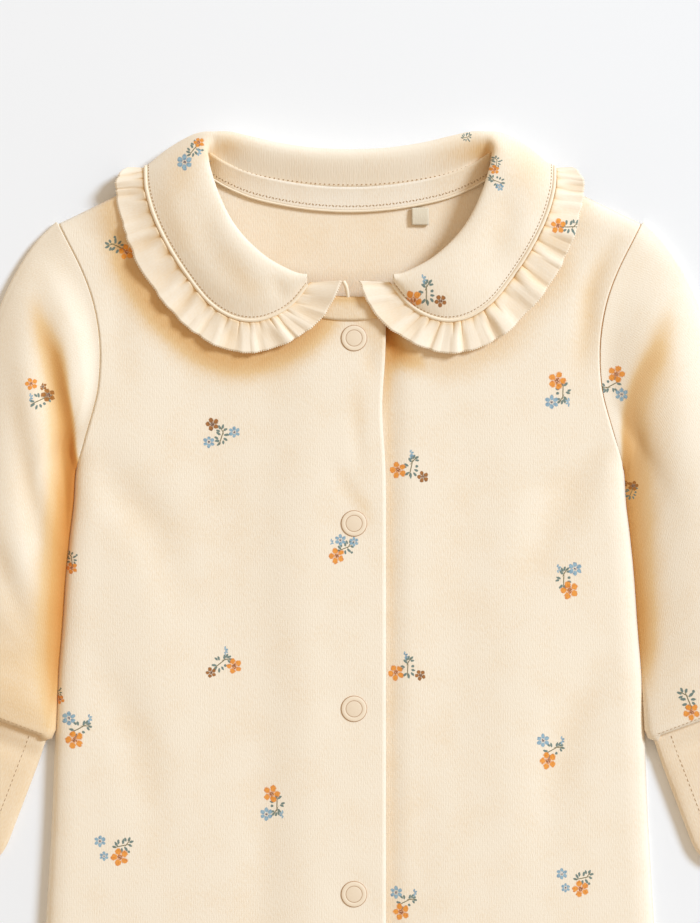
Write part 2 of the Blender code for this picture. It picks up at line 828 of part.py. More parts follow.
def back_neck_curve(count=25):
    """Places along the back's neck edge, from one shoulder to the other."""
    half = [(x, y) for x, y, _ in BACK_NECK_ROWS if x > 0.0]
    points = [(-x, y) for x, y in half] + [(0.0, BACK_NECK_Y)] + half[::-1]
    curve = through(points, 6)
    picked = np.linspace(0, len(curve) - 1, count).round().astype(int)
    return curve[picked]


def neck_tape():
    rows = []
    for below in (TAPE_TOP + TAPE_WIDTH, TAPE_TOP + TAPE_WIDTH / 2, TAPE_TOP):
        rows.append([(x * TAPE_SHARE, y - below) for x, y in back_neck_curve()])
    strip_on("neck_tape", rows, back_height, CREAM)


def size_tab():
    top = BACK_NECK_Y - TAPE_TOP - TAPE_WIDTH + 1.4
    rows = []
    for y in (top - TAB_SIZE, top - TAB_SIZE / 2, top):
        rows.append([(TAB_X + share * TAB_SIZE, y) for share in (-0.5, 0.0, 0.5)])
    strip_on("size_tab", rows, back_height, TAB_WHITE)


def neck_band():
    rows = []
    for below in (BAND_WIDTH, BAND_WIDTH / 2, 0.0):
        row = []
        for x in np.linspace(-BAND_REACH, PLACKET_LAP - 0.8, 9):
            row.append((x, BAND_TOP + BAND_CURVE * x * x - below))
        rows.append(row)
    strip_on("neck_band", rows, over_height, CREAM)


def popper(name, y):
    """A ring popper: a turned cap with a raised rim and a shallow groove round its middle."""
    profile = (
        # radius, height over the cloth
        (0.0, POPPER_HEIGHT - 0.1),
        (POPPER_INNER - 0.35, POPPER_HEIGHT - 0.1),
        (POPPER_INNER, POPPER_HEIGHT - 0.3),
        (POPPER_INNER + 0.5, POPPER_HEIGHT),
        (POPPER_RADIUS - 0.5, POPPER_HEIGHT),
        (POPPER_RADIUS, POPPER_HEIGHT / 2),
        (POPPER_RADIUS, 0.0),
        (0.0, 0.0),
    )
    mesh = bmesh.new()
    verts = [mesh.verts.new((r * METRES, 0.0, z * METRES)) for r, z in profile]
    for pair in zip(verts, verts[1:]):
        mesh.edges.new(pair)
    made = new_object(name, mesh, None, RING_TAN, 0.45)
    turned_round = made.modifiers.new("turned", "SCREW")
    turned_round.steps = POPPER_SIDES
    turned_round.render_steps = POPPER_SIDES
    turned_round.use_merge_vertices = True
    turned_round.merge_threshold = 0.00001
    base = over_height(POPPER_X, y) + CLOTH / 2 + SEAM_GAP
    made.location = (POPPER_X * METRES, y * METRES, base * METRES)


def clear_scene():
    for item in list(bpy.data.objects):
        bpy.data.objects.remove(item, do_unlink=True)


def main():
    back()
    front("front_right", -1, PLACKET_LAP, over_height)
    front("front_left", 1, PLACKET_UNDER, under_height)
    for name, side in (("right", -1), ("left", 1)):
        sleeve("sleeve_" + name, side)
        mitt("mitt_" + name, side)
        foot("foot_" + name, side)
    collar()
    ruffle()
    neck_tape()
    neck_band()
    size_tab()
    for number in range(POPPERS):
        popper(f"popper_{number + 1}", POPPER_FIRST_Y - number * POPPER_PITCH)


clear_scene()
SUIT = bpy.data.collections.new("Footed baby sleepsuit")
bpy.context.scene.collection.children.link(SUIT)
main()
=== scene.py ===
"""Looks of a footed baby sleepsuit in newborn size, laid flat on its back on a pale floor.

+Y runs from the feet to the collar and +X to the wearer's left. Sizes are in millimetres
until a mesh is made. The suit is the same on both sides apart from its placket, its print and
its folds, so most tables give one half, with x counted outwards from the middle line.
"""

import math

import bmesh
import bpy
import numpy as np
from mathutils import Matrix


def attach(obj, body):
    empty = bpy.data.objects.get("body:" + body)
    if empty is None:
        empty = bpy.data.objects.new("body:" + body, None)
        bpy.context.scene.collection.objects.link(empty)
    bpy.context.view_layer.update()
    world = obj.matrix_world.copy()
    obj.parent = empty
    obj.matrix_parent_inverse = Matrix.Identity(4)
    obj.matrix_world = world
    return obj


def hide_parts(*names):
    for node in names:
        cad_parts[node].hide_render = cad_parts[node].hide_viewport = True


METRES = 0.001

# Walls and gaps
CLOTH = 1.6
WALL = 1.3
TRIM = 1.0
TRIM_WALL = 0.8
SEAM_GAP = 0.35
FLOOR_MID = CLOTH / 2
PLY_STEP = CLOTH + SEAM_GAP
ON_WALL = WALL / 2 + 0.02
ON_CLOTH = CLOTH / 2 + 0.02

# Body
BODY_LONG = 461.0
BACK_CUT = (247.0, BODY_LONG)
BODY_LOFT = 3.15
EDGE_ROUND = 9.0
UNDERARM_Y = 132.0
CROTCH_Y = -126.0
ANKLE_Y = -205.0
NECK_POINT = (60.5, 256.3)
SHOULDER_NORMAL = (-0.426, -0.905)
NECK_RAISE = 2.2
NECK_RAISE_Y = 262.0
NECK_RAISE_REACH = (100.0, 50.0)
WAVE_FADE = 12.0
BACK_NECK_Y = 242.6

# Placket and poppers
PLACKET_LAP = 14.4
PLACKET_UNDER = 11.2
LAP_END_Y = -112.0
LAP_RISE = 1.2
LAP_SINK = 1.2
LAP_FADE = 26.0
LAP_UNDER_FADE = 8.0
LAP_END_FADE = 10.0
LAP_BOW = 1.5
LAP_BOW_Y = 156.0
LAP_BOW_REACH = 17.0
POPPER_RADIUS = 5.3
POPPER_INNER = 3.25
POPPER_X = 1.6
POPPER_FIRST_Y = 184.0
POPPER_PITCH = 74.2
POPPERS = 5
POPPER_DIMPLE = 0.25
DIMPLE_REACH = 6.0

# Sleeves, mitts and feet
FOLD_GAP = 2.6
FOLD_ROUND = 0.42
EDGE_CLEAR = 0.85
CUFF_GAP = 6.0
CUFF_FROM = 0.78
SLEEVE_LONG = 205.0
SLEEVE_CUT = (188.0, 212.0)
SLEEVE_PLY = 4.9
SLEEVE_CORNER = 3.0
SLEEVE_ROUND = 2.4
ARMHOLE_RIDGE = 0.45
HEM = 1.3
MITT_LENGTH = 64.0
MITT_CUT = (136.0, 70.0)
MITT_INSET = 1.6
MITT_CORNER = 19.0
MITT_LOFT = 2.4
MITT_SLACK = 0.05
MITT_STITCH_INSET = 5.4
MITT_SEAM_OUT = 0.9
MITT_SEAM_ENDS = (1.6, 44.0)
FOOT_LENGTH = 60.72
FOOT_CUT = (146.0, 64.0)
FOOT_CORNER = 26.0
FOOT_LOFT = 2.3
FOOT_LEAN = 0.05
END_ROUND = 1.3
END_SQUARE = 0.76

# Collar and ruffle
COLLAR_CUT = (270.0, 120.0)
COLLAR_TOP = 11.6
COLLAR_BROW = 0.9
COLLAR_CLEAR = 2.5
PIPED_SECTIONS = 11
PIPING_INSET = 0.5
COLLAR_STITCH_INSET = 2.1
STAND_STITCH_INSET = 2.3
STAND_CLEAR = 2.1
STAND_LEAST = 3.2
SHOULDER_DROP = 1.2
LIES_UNTIL = 0.4
WRAPS_UNTIL = 0.9
RUFFLE_CUT = (540.0, 15.0)
FRONT_GATHERS = 24
BACK_GATHERS = 11
GATHERS = FRONT_GATHERS + BACK_GATHERS
GATHER_CLOTH = 5.5
RUFFLE_CLOTH = 14.0
RUFFLE_GAP = 0.6
RUFFLE_TIP_GAP = 2.25
RUFFLE_SAG = 0.5
RUFFLE_SEED = 23

# Neck tape, size tab and neck band
TAPE_TOP = 1.7
TAPE_WIDTH = 5.7
TAPE_SHARE = 0.93
TAPE_UP = 3.6
TAPE_CUT = (118.0, 10.0)
TAB_SIZE = 6.8
TAB_X = 28.2
TAB_CUT = (10.0, 10.0)
BAND_TOP = 200.3
BAND_WIDTH = 9.2
BAND_REACH = 17.0
BAND_CURVE = 0.007
BAND_CUT = (31.0, 10.5)

# The band's free end: x, y and height over the front
BAND_END = ((-2.6, 206.4, 2.6), (-1.7, 204.8, 2.8), (-1.1, 202.4, 2.2), (-0.8, 200.0, 1.2))

# Steps that the meshes are made in
BACK_COLUMNS = 46
FRONT_COLUMNS = 52
BODY_STEP = 2.6
CROTCH_STEP = 0.9
LEG_ROWS = 32
SLEEVE_ROWS = 96
SLEEVE_COLUMNS = 32
POUCH_COLUMNS = 30
POUCH_END_ROWS = 27
FOLD_STEPS = 5
COLLAR_STEPS = 8
COLLAR_COLUMN_STEPS = 6
GATHER_STEPS = 20
RUFFLE_COLUMNS = 14
TAPE_COLUMNS = 121
TAPE_ROWS = 11
TAB_ROWS = 12
BAND_COLUMNS = 40
BAND_ROWS = 9
POPPER_STEPS = 48

# Straight rows of a mitt and a foot: first, last and how many
MITT_ROWS = (-3.0, 45.0, 24)
FOOT_ROWS = (0.0, 34.0, 16)

# Rows of stitches: pitch, half length and half width of one stitch
HEM_STITCH = (1.7, 0.6, 0.16)
MITT_STITCH = (2.1, 0.75, 0.17)
COLLAR_STITCH = (1.5, 0.55, 0.22)
STAND_STITCH = (1.85, 0.38, 0.30)
TAPE_STITCH = (1.35, 0.55, 0.24)
EDGE_STITCH = (0.95, 0.40, 0.42)

# Radius of each rolled seam and edge
ARMHOLE_ROLL = 0.5
MITT_ROLL = 0.55
TAPE_ROLL = 0.55
BAND_ROLL = 0.75
COLLAR_ROLL = 0.85

# Studio, in metres and watts
LENS = 85.0
CAMERA_PLACE = (0.0, 0.1346, 0.880)
KEY_PLACE = (4.62, 2.88, 3.635)
KEY_AIM = (0.0, 0.1, 0.0)
KEY_SIZE = 1.9
KEY_POWER = 457.0
SKY_STRENGTH = 0.59
FLOOR_SIZE = 6.0

# Side of the body: armhole, side seam, outer leg
BODY_EDGE = (
    # y, half width
    (229.9, 116.8), (223, 113.2), (213, 108.2), (203.6, 104.4), (194.4, 101.9), (184.4, 100.4),
    (174.2, 100.1), (163.2, 101), (154, 103.2), (144, 106.2), (132, 109.6), (118, 110.6), (104.8, 112.2),
    (87.6, 113.9), (68.4, 115.2), (48, 116.9), (31.2, 117.8), (14.4, 118.5), (-8.4, 119.4),
    (-30.8, 120.7), (-60, 122.4), (-86, 123.6), (-106, 123.6), (-130, 121), (-155, 116.5), (-180, 112.5),
    (ANKLE_Y, 110),
)

# Inner leg seam, from the crotch to the ankle
LEG_EDGE = (
    # y, x
    (CROTCH_Y, 1.2), (-138, 7.4), (-152, 15), (-170, 25), (-188, 34), (ANKLE_Y, 40),
)

# Rows of the front: the first is the shoulder seam, then they fan round the neck
FRONT_NECK_ROWS = (
    # x at the neck, y at the neck, y at the armhole
    (*NECK_POINT, 229.9), (58.9, 247, 223), (56, 238, 213), (51.5, 228.8, 203.6), (45, 220.3, 194.4),
    (37, 213, 184.4), (28, 207.2, 174.2), (18, 203, 163.2), (8, 200.9, 154),
)

# Rows of the back, as far as its centre line
BACK_NECK_ROWS = (
    # x at the neck, y at the neck, y at the armhole
    (*NECK_POINT, 229.9), (53, 252.2, 223), (42, 248, 213), (28, 245, 203.6), (14, 243.2, 194.4),
    (0, BACK_NECK_Y, 184.4), (0, 232, 174.2), (0, 221.5, 163.2), (0, 211, 154),
)

# Below the neck a row runs from the front edge or centre line to the side
LOWER_ROWS = (
    # y at the middle, y at the side
    (200.4, 144), (188, 133), (170, 121), (148, 106), (124, 88), (98, 68.4), (68, 48), (38, 24), (8, -2),
    (-24, -28), (-54, -56), (-82, -83), (-106, -106), (-114, -114), (-119.5, -119.5), (-123.5, -123.5),
)

# Outer line of a sleeve, from the shoulder point to the cuff
SLEEVE_OUTER = (
    # share of the way to the cuff, x, y
    (0, 117.4, 230), (0.1, 126.4, 220.6), (0.22, 135.4, 206), (0.34, 143.2, 187), (0.5, 154.5, 156),
    (0.66, 164.8, 122), (0.82, 174.8, 86), (1, 186.2, 48.6),
)

# Inner edge of a sleeve, which lies beside the body
SLEEVE_INNER_Y = (
    # share of the way to the cuff, y
    (0, 132.5), (0.1, 130.5), (0.22, 124), (0.34, 113), (0.5, 93), (0.66, 70), (0.82, 47), (1, 24),
)

# Top of a sleeve over its folded edges
SLEEVE_LOFT = (
    # share of the way to the cuff, height of the crest, place of the crest across the sleeve
    (0, 2.4, 0.5), (0.1, 4.8, 0.6), (0.22, 7.2, 0.66), (0.34, 8.8, 0.62), (0.5, 8.8, 0.56),
    (0.66, 8, 0.54), (0.82, 6, 0.52), (1, 2.4, 0.5),
)

# How the two sleeves differ in their shape
SLEEVE_SIDES = {
    # lean of the crest, share of the creases, share of the waves, loft lost, share that follows the front
    "right": (0.15, 0.9, 1.0, 0.0, 0.12),
    "left": (-0.06, 0.0, 0.35, 0.28, 0.2),
}

# The deep crease where a lowered sleeve buckles under the arm, and softer ones beside it
SLEEVE_CREASES = (
    # places (x, y, depth, width) along each crease
    (
        (125.5, 204, 0.3, 5), (121, 186, 2, 5.5), (118.6, 168, 3.6, 5.5), (115.8, 149, 4.6, 5),
        (113.6, 126, 4, 4.5), (114, 108, 1.2, 4),
    ),
    ((134, 168, 0.2, 4), (131, 140, 1.6, 5), (126, 112, 2.2, 5), (124, 90, 0.4, 4)),
    ((150, 118, 0.2, 4), (139, 92, 1.5, 5), (129, 66, 0.3, 4)),
    ((168, 92, 0.2, 4), (158, 66, 1.3, 5), (150, 46, 0.3, 4)),
)

# Soft creases of the body and the legs
BODY_CREASES = (
    ((100, 138, 0.3, 7), (82, 112, 1.2, 9), (66, 74, 0.2, 8)),
    ((104, 60, 0.2, 8), (86, 22, 1, 9), (78, -20, 0.2, 8)),
    ((100, -70, 0.2, 8), (72, -104, 1.5, 8), (44, -124, 1, 7), (24, -132, 0.2, 6)),
    ((50, -178, 0.2, 6), (74, -188, 1.2, 6), (98, -182, 0.2, 6)),
)

# Collar sections, from its front tip round the shoulder to the centre back. The fall turns
# under the suit where it passes the shoulder: turn is 0 in front of it and 1 behind it.
COLLAR_SECTIONS = (
    # base x, base y, roll x, roll y, edge x, edge y, turn
    (17.4, 203.8, 17.2, 208.2, 18.2, 206, 0), (21.5, 205, 21, 209, 24.4, 197.8, 0),
    (27, 207.4, 26.2, 211.2, 31, 193, 0), (33.4, 211, 32.4, 214.6, 39, 190.8, 0),
    (39.6, 215.8, 38.2, 219.2, 47.6, 192.4, 0), (45.6, 221.8, 43.8, 225, 56.4, 198.2, 0),
    (50.6, 229, 48.4, 231.6, 65, 208.8, 0), (54.4, 236.8, 52, 239, 72.4, 220.2, 0),
    (57, 244.8, 54.8, 246.4, 78, 231.6, 0), (58.4, 251.4, 56.8, 253.6, 81.2, 242.2, 0),
    (58.6, 255.2, 57.4, 259.6, 82, 250, 0.12), (55.6, 254.8, 55, 263.4, 81.8, 252.2, 0.5),
    (52.4, 253.4, 51.8, 264.2, 80, 250.6, 0.8), (48.6, 251.8, 48, 263.6, 74, 244.6, 1),
    (39, 248.2, 40, 261.8, 62, 237.4, 1), (27, 245.8, 28, 259, 42, 232, 1),
    (13.5, 244.2, 14, 257, 20, 230.4, 1), (0, 243.6, 0, 256.4, 0, 230, 1),
)

# The ruffle's outer edge at each of the collar's sections
RUFFLE_SECTIONS = (
    # outer x, outer y, lift over the front, swell of the gathers
    (3.4, 206.6, 4.3, 1.2), (10.6, 192.6, 4.2, 2.2), (22.8, 183.4, 3.2, 2.6), (36.6, 178.4, 2.4, 2.6),
    (51, 180, 2.2, 2.6), (64.4, 188, 2.2, 2.6), (76, 200.4, 2.2, 2.6), (84.4, 213.2, 2.2, 2.4),
    (90.4, 228, 2.2, 2.2), (93.4, 241.4, 2, 2), (93, 248.2, 2.4, 1.2), (89.6, 252.6, 2, 0.4),
    (90.4, 249, 0, 0.2), (84.6, 241, 0, 0.3), (70, 227.2, 0, 0.5), (46, 220.6, 0, 0.5),
    (21.5, 218.6, 0, 0.5), (0, 218, 0, 0.5),
)

# The largest folds of the ruffle, for its right and left half
RUFFLE_FOLDS = (
    # gather counted from the front tip, height
    ((0.6, 0.9), (4.5, 0.9), (8.5, 1), (12.5, 0.8), (15.5, 1.1), (19.5, 0.8)),
    ((0.8, 0.8), (4.5, 0.9), (7.5, 1.1), (10.5, 1.4), (13.5, 1.5), (16.5, 1.3), (20.5, 1)),
)

# Slight waves that only the looks need: troughs, and ridges where the depth is negative
BODY_SOFT = (
    # places (x, y, depth, width) along each
    ((-64, 196, 0.1, 11), (-58, 150, 0.5, 13), (-50, 96, 0.6, 13), (-46, 30, 0.1, 12)),
    ((-88, 150, -0.1, 12), (-82, 92, -0.5, 12), (-78, 30, -0.5, 13), (-82, -30, -0.1, 12)),
    ((-20, 150, -0.1, 8), (-24, 90, -0.4, 9), (-20, 30, -0.4, 9), (-26, -60, -0.1, 9)),
    ((-36, 20, 0.1, 8), (-34, -24, 0.6, 8), (-40, -80, 0.5, 9), (-44, -110, 0.1, 9)),
    ((40, 168, 0.1, 10), (46, 110, 0.5, 12), (40, 50, 0.6, 12), (44, -10, 0.2, 12)),
    ((66, 140, -0.1, 11), (70, 80, -0.5, 12), (64, 10, -0.5, 12), (70, -60, -0.1, 11)),
    ((24, 30, 0.1, 7), (28, -20, 0.5, 8), (22, -76, 0.4, 8), (26, -110, 0.1, 8)),
    ((104, 140, 0.1, 6), (88, 126, 0.7, 7), (64, 122, 0.1, 8)),
    ((-106, 136, 0.1, 6), (-92, 118, 0.7, 7), (-70, 108, 0.1, 8)),
    ((106, 223, 0.2, 3.6), (97.6, 206, 1, 4.6), (95, 188, 0.9, 5), (92, 164, 0.1, 6)),
    ((-88, 218, 0.1, 6), (-93, 196, 0.5, 6), (-92, 168, 0.1, 6)),
    ((6.4, 181.5, 0.2, 2.6), (8.6, 175, 0.5, 2.8), (11, 168.6, 0.1, 2.6)),
    ((2, 160, 0.1, 2.6), (3, 144, 0.4, 2.8), (3.6, 131, 0.1, 2.6)),
    ((-8, 133, 0.1, 3), (-2, 124.6, 0.5, 3), (1.6, 118.6, 0.2, 2.6)),
)
SLEEVE_SOFT = (
    ((136, 196, 0.1, 5), (132, 172, -0.7, 6), (131, 146, -0.8, 6), (136, 118, -0.1, 6)),
    ((152, 140, 0.1, 4), (151, 118, 0.8, 5), (157, 96, 0.1, 5)),
    ((136, 96, 0.1, 4), (146, 84, 0.7, 4.5), (160, 80, 0.1, 5)),
    ((130, 58, 0.1, 4), (142, 54, 0.6, 4), (158, 56, 0.1, 4)),
    ((166, 70, 0.1, 4), (168, 56, 0.6, 4), (172, 46, 0.1, 4)),
)
COLLAR_SOFT = (
    ((-50, 240, 0.1, 5), (-56, 226, 0.4, 6), (-48, 212, 0.4, 6), (-36, 204, 0.1, 5)),
    ((-70, 240, -0.1, 5), (-66, 222, -0.5, 6), (-56, 206, -0.4, 5), (-40, 198, -0.1, 5)),
    ((-32, 210, 0.1, 3.5), (-28, 203, 0.6, 3.5), (-27, 198, 0.1, 3.5)),
    ((58, 246, 0.1, 5), (62, 232, 0.6, 6), (56, 216, 0.5, 6), (46, 206, 0.1, 5)),
    ((74, 240, -0.1, 4), (69, 224, -0.4, 5), (60, 208, -0.3, 5), (46, 198, -0.1, 5)),
)

# Painted shade, darker and warmer, along the fold beside the body, standing in for shade and for light that
# passes from cloth to cloth
SLEEVE_PAINTED_SHADE = {
    # side: places (x, y, share, width towards the body, width away from it) down the fold
    "right": (
        (126, 203, 0.02, 3, 3), (124.6, 194, 0.2, 4, 3.6), (121.6, 184.5, 0.42, 4.6, 4.6),
        (117, 176, 0.6, 3, 6), (114, 164.2, 0.72, 1.6, 7), (112, 152.3, 0.8, 1.1, 7.6),
        (110.8, 140.6, 0.92, 0.9, 7.8), (110.2, 131, 1, 0.9, 8), (111.2, 118, 1, 0.9, 8),
        (112.8, 100, 0.92, 0.9, 8.2), (114.6, 80, 0.8, 0.9, 7.6), (116.6, 58, 0.62, 0.9, 6.4),
        (118, 42, 0.4, 0.9, 4.6), (119, 30, 0.14, 0.9, 3.6),
    ),
    "left": (
        (127.6, 196, 0.02, 5, 5), (125, 187, 0.2, 5, 5.6), (121, 177, 0.34, 4.4, 7.6),
        (115, 166, 0.38, 3.4, 9), (111.6, 156, 0.44, 2.2, 10), (110.2, 144, 0.5, 1.4, 10.5),
        (110.4, 132, 0.56, 0.9, 10.5), (111.4, 118, 0.6, 0.9, 9.5), (112.8, 100, 0.6, 0.9, 8.6),
        (114.8, 80, 0.62, 0.9, 7.6), (116.8, 62, 0.54, 0.9, 6.4), (118.2, 50, 0.24, 0.9, 4.6),
        (119, 40, 0.04, 0.9, 4),
    ),
}
FRONT_PAINTED_SHADE = (
    # painted shade on the front that lies under: below the ruffle, beside the placket and beside the armhole
    ((14.6, 188, 0.95, 5), (16.6, 182, 0.9, 5), (21, 178, 0.6, 5), (32, 173, 0.12, 5)),
    ((15.2, 174, 0.36, 3.6), (14.4, 158, 0.2, 2.8), (16, 120, 0.12, 2.2), (16, -120, 0.12, 2.2)),
    ((106, 223, 0.04, 3.6), (97.6, 206, 0.16, 4.4), (95, 188, 0.14, 4.8), (92, 164, 0.02, 5)),
)
LAP_PAINTED_SHADE = (
    # painted shade beside and between the upper poppers, on the front that laps over
    ((5.2, 180.5, 0.02, 2.4), (7.4, 175, 0.11, 2.8), (9.6, 168, 0.03, 2.8)),
    ((2.4, 168, 0.02, 3), (3.4, 154, 0.06, 3.6), (3.4, 138, 0.02, 3.2)),
    ((-6, 130, 0.02, 3.2), (-0.6, 123, 0.07, 3.2), (5.4, 117, 0.11, 2.8), (8.6, 108, 0.02, 2.6)),
)
# Painted shade in the collar's dents and along its roll, places (x, y, share, width) along each
COLLAR_PAINTED_SHADE = (
    ((-57, 257, 0.1, 3.5), (-50, 260.4, 0.2, 4.5), (-42, 259, 0.08, 5)),
    ((36, 256, 0.05, 5), (47, 258, 0.2, 5), (54.5, 259, 0.42, 3.6)),
    ((-61, 257, 0.05, 6), (-67, 250, 0.12, 6), (-71, 238, 0.04, 6)),
    ((-74, 238, 0.04, 5), (-71, 229, 0.08, 6), (-62, 220, 0.05, 6), (-56, 214, 0.02, 6)),
    ((-54, 221, 0.02, 5), (-47.6, 214.8, 0.07, 4.5), (-41.6, 206.5, 0.09, 4), (-36, 201, 0.03, 4)),
    ((58, 260, 0.04, 7), (70, 252, 0.12, 8), (75, 240, 0.06, 7)),
)

# Painted shade, darker and warmer: low on each sleeve, on each mitt, inside the neck and in the body's
# creases, and how far the front that lies under sinks where it takes painted shade
LOW_PAINTED_SHADE = {"right": 0.19, "left": 0.02}
LOW_PAINTED_SHADE_Y = 104.0
LOW_PAINTED_SHADE_FADE = 56.0
MITT_PAINTED_SHADE = {"right": 0.15, "left": 0.08}
NECK_PAINTED_SHADE = 0.07
NECK_PAINTED_SHADE_Y = 180.0
NECK_PAINTED_SHADE_FADE = 25.0
CREASE_PAINTED_SHADE = 0.04
PAINTED_SHADE_DIP = 0.5

# Painted shadow of the ruffle on the front, shifted towards -x and -y: side and share, then how its place
# and strength change
RUFFLE_PAINTED_SHADOW = ((-1.0, 0.46), (1.0, 0.16))
RUFFLE_PAINTED_SHADOW_SHIFT = (2.6, 3.2)
RUFFLE_PAINTED_SHADOW_REACH = 7.0
RUFFLE_PAINTED_SHADOW_Y = 236.0
RUFFLE_PAINTED_SHADOW_FADE = 34.0

# The print: flowers round a sprig's middle, and its leaves, which the material draws
SPRIG_LAYOUTS = {
    # flowers (x, y, radius, kind), then the middle and turn of the leaves and their kind
    "pair": (((0.2, -3.6, 3.8, "orange"), (-2, 5, 2.9, "blue"), (5.4, 5, 2, "bud")), (2.6, 1.4, -30, 0)),
    "trio": (
        ((2.6, -2, 3.7, "orange"), (-5.4, 4.4, 2.5, "blue"), (-3.8, -1.6, 2, "blue")),
        (3.6, 2.4, 0, 1),
    ),
    "spray": (
        ((-4.2, -0.4, 3.5, "orange"), (5.6, -3.2, 2.4, "brown"), (0.2, 6, 2, "bud")),
        (1, 1.4, 20, 0),
    ),
    "stem": (
        ((-3.6, 3.6, 2.8, "brown"), (-5, -3.6, 2.5, "blue"), (5.2, 0.4, 2.4, "blue")),
        (0.4, -1.4, 60, 1),
    ),
    "dark": (
        (
            (-3.4, 3.2, 2.7, "orange"), (3.2, -1.4, 3, "brown"), (1, 2.2, 1.7, "brown"),
            (-4.2, -2.4, 1.8, "bud"),
        ),
        (0.6, -3.2, -30, 0),
    ),
    "cluster": (
        (
            (-1, -2.6, 3.7, "orange"), (0.6, 4.4, 2.7, "blue"), (6.6, 3.6, 2.2, "blue"),
            (-4, 3.4, 1.8, "bud"),
        ),
        (2.8, 0.6, 10, 1),
    ),
    "bluebell": (
        ((-3.6, -4.2, 3.6, "blue"), (2.6, 4.6, 2.4, "orange"), (1.8, 0.2, 2, "bud")),
        (0.6, 1.2, 40, 1),
    ),
    "single": (((0, 0, 3.2, "orange"),), (4.6, 1, 10, 1)),
    "bud": (((0, 0, 2.4, "blue"),), (-3, 2.4, 120, 0)),
    "leaves": ((), (0, 0, 0, 1)),
}

# Where each sprig is printed
SPRIGS = {
    # piece: sprigs (x, y, turn, mirrored, layout, size) in degrees and shares
    "front_right": (
        (-89.6, 218.6, 133, 0, "single", 1), (-51.6, 146, 0, 0, "stem", 1),
        (-4.4, 99.2, 0, 0, "cluster", 0.9), (-111.4, 91.8, 75, 0, "single", 0.75),
        (-50.4, 53, 0, 1, "spray", 0.95), (-116.2, 39, 90, 0, "single", 0.6),
        (-110.6, 26.6, 0, 0, "pair", 1), (-94.8, -22, 0, 0, "trio", 1), (-31.6, -2, 180, 1, "pair", 0.95),
        (-70, -72, 20, 0, "spray", 1), (-24, -74, -10, 1, "trio", 1), (-104, -96, 0, 0, "pair", 1),
        (-52, -132, 30, 0, "stem", 1), (-84, -166, -20, 1, "trio", 1),
    ),
    "front_left": (
        (23.6, 131.6, 0, 0, "spray", 1), (22.4, 51, 10, 0, "spray", 0.95),
        (20.4, -42.8, 0, 0, "pair", 0.9), (82.8, 163.4, 180, 1, "pair", 1), (88.2, 86.6, 0, 1, "pair", 1),
        (79.2, 18, 0, 0, "pair", 0.95), (90, -34.8, 0, 0, "trio", 0.95), (54, -84, 10, 0, "stem", 1),
        (104, -104, 0, 1, "pair", 1), (36, -146, -20, 0, "spray", 0.9), (84, -160, 0, 0, "trio", 1),
    ),
    "sleeve_right": ((-123.8, 162.4, 0, 0, "dark", 0.95), (-150, 96, 20, 0, "pair", 1)),
    "sleeve_left": (
        (107, 166.2, 180, 0, "pair", 0.95), (111.6, 124.2, 40, 0, "dark", 0.7),
        (136.4, 34.6, 90, 0, "single", 1.1), (154, 112, -10, 0, "trio", 1),
    ),
    "sleeve_right_below": (
        (-140, 170, 0, 0, "trio", 1), (-126, 116, 40, 0, "pair", 1), (-160, 72, 0, 1, "spray", 1),
    ),
    "sleeve_left_below": (
        (138, 176, 0, 0, "pair", 1), (128, 108, 30, 1, "trio", 1), (158, 66, 0, 0, "stem", 1),
    ),
    "mitt_right": ((-176, 6, 20, 0, "pair", 1),),
    "mitt_left": ((178, -8, -20, 0, "trio", 1),),
    "mitt_right_below": ((-160, 10, 200, 0, "spray", 1),),
    "mitt_left_below": ((164, 2, 160, 0, "stem", 1),),
    "foot_right": ((-70, -238, 0, 0, "pair", 1),),
    "foot_left": ((84, -232, 0, 1, "trio", 1),),
    "foot_right_below": ((-84, -230, 0, 0, "trio", 1),),
    "foot_left_below": ((70, -240, 0, 0, "spray", 1),),
    "back": (
        (-78, 196, 0, 0, "trio", 1), (-20, 180, 20, 0, "pair", 1), (52, 186, 0, 0, "spray", 1),
        (-60, 128, 0, 1, "stem", 1), (12, 118, 180, 0, "trio", 1), (82, 130, 0, 0, "pair", 1),
        (-94, 66, 10, 0, "spray", 1), (-22, 54, 0, 0, "pair", 1), (54, 62, -20, 1, "trio", 1),
        (-62, -8, 180, 0, "pair", 1), (10, -14, 0, 0, "stem", 1), (88, -2, 0, 0, "spray", 1),
        (-96, -76, 0, 0, "trio", 1), (-24, -84, 30, 1, "spray", 1), (48, -72, 0, 0, "pair", 1),
        (-70, -150, 0, 0, "stem", 1), (60, -142, 0, 1, "pair", 1), (96, -186, 0, 0, "trio", 1),
    ),
    "collar": (
        (-62.4, 257.2, 0, 0, "bluebell", 0.9), (29.6, 200.8, 12, 0, "spray", 1.05),
        (57.6, 250.4, 60, 0, "single", 0.6), (59.4, 243.6, -20, 0, "bud", 0.7),
        (46.4, 263.6, 0, 0, "leaves", 0.5),
    ),
    "ruffle": ((83, 228.6, -20, 0, "single", 1),),
}

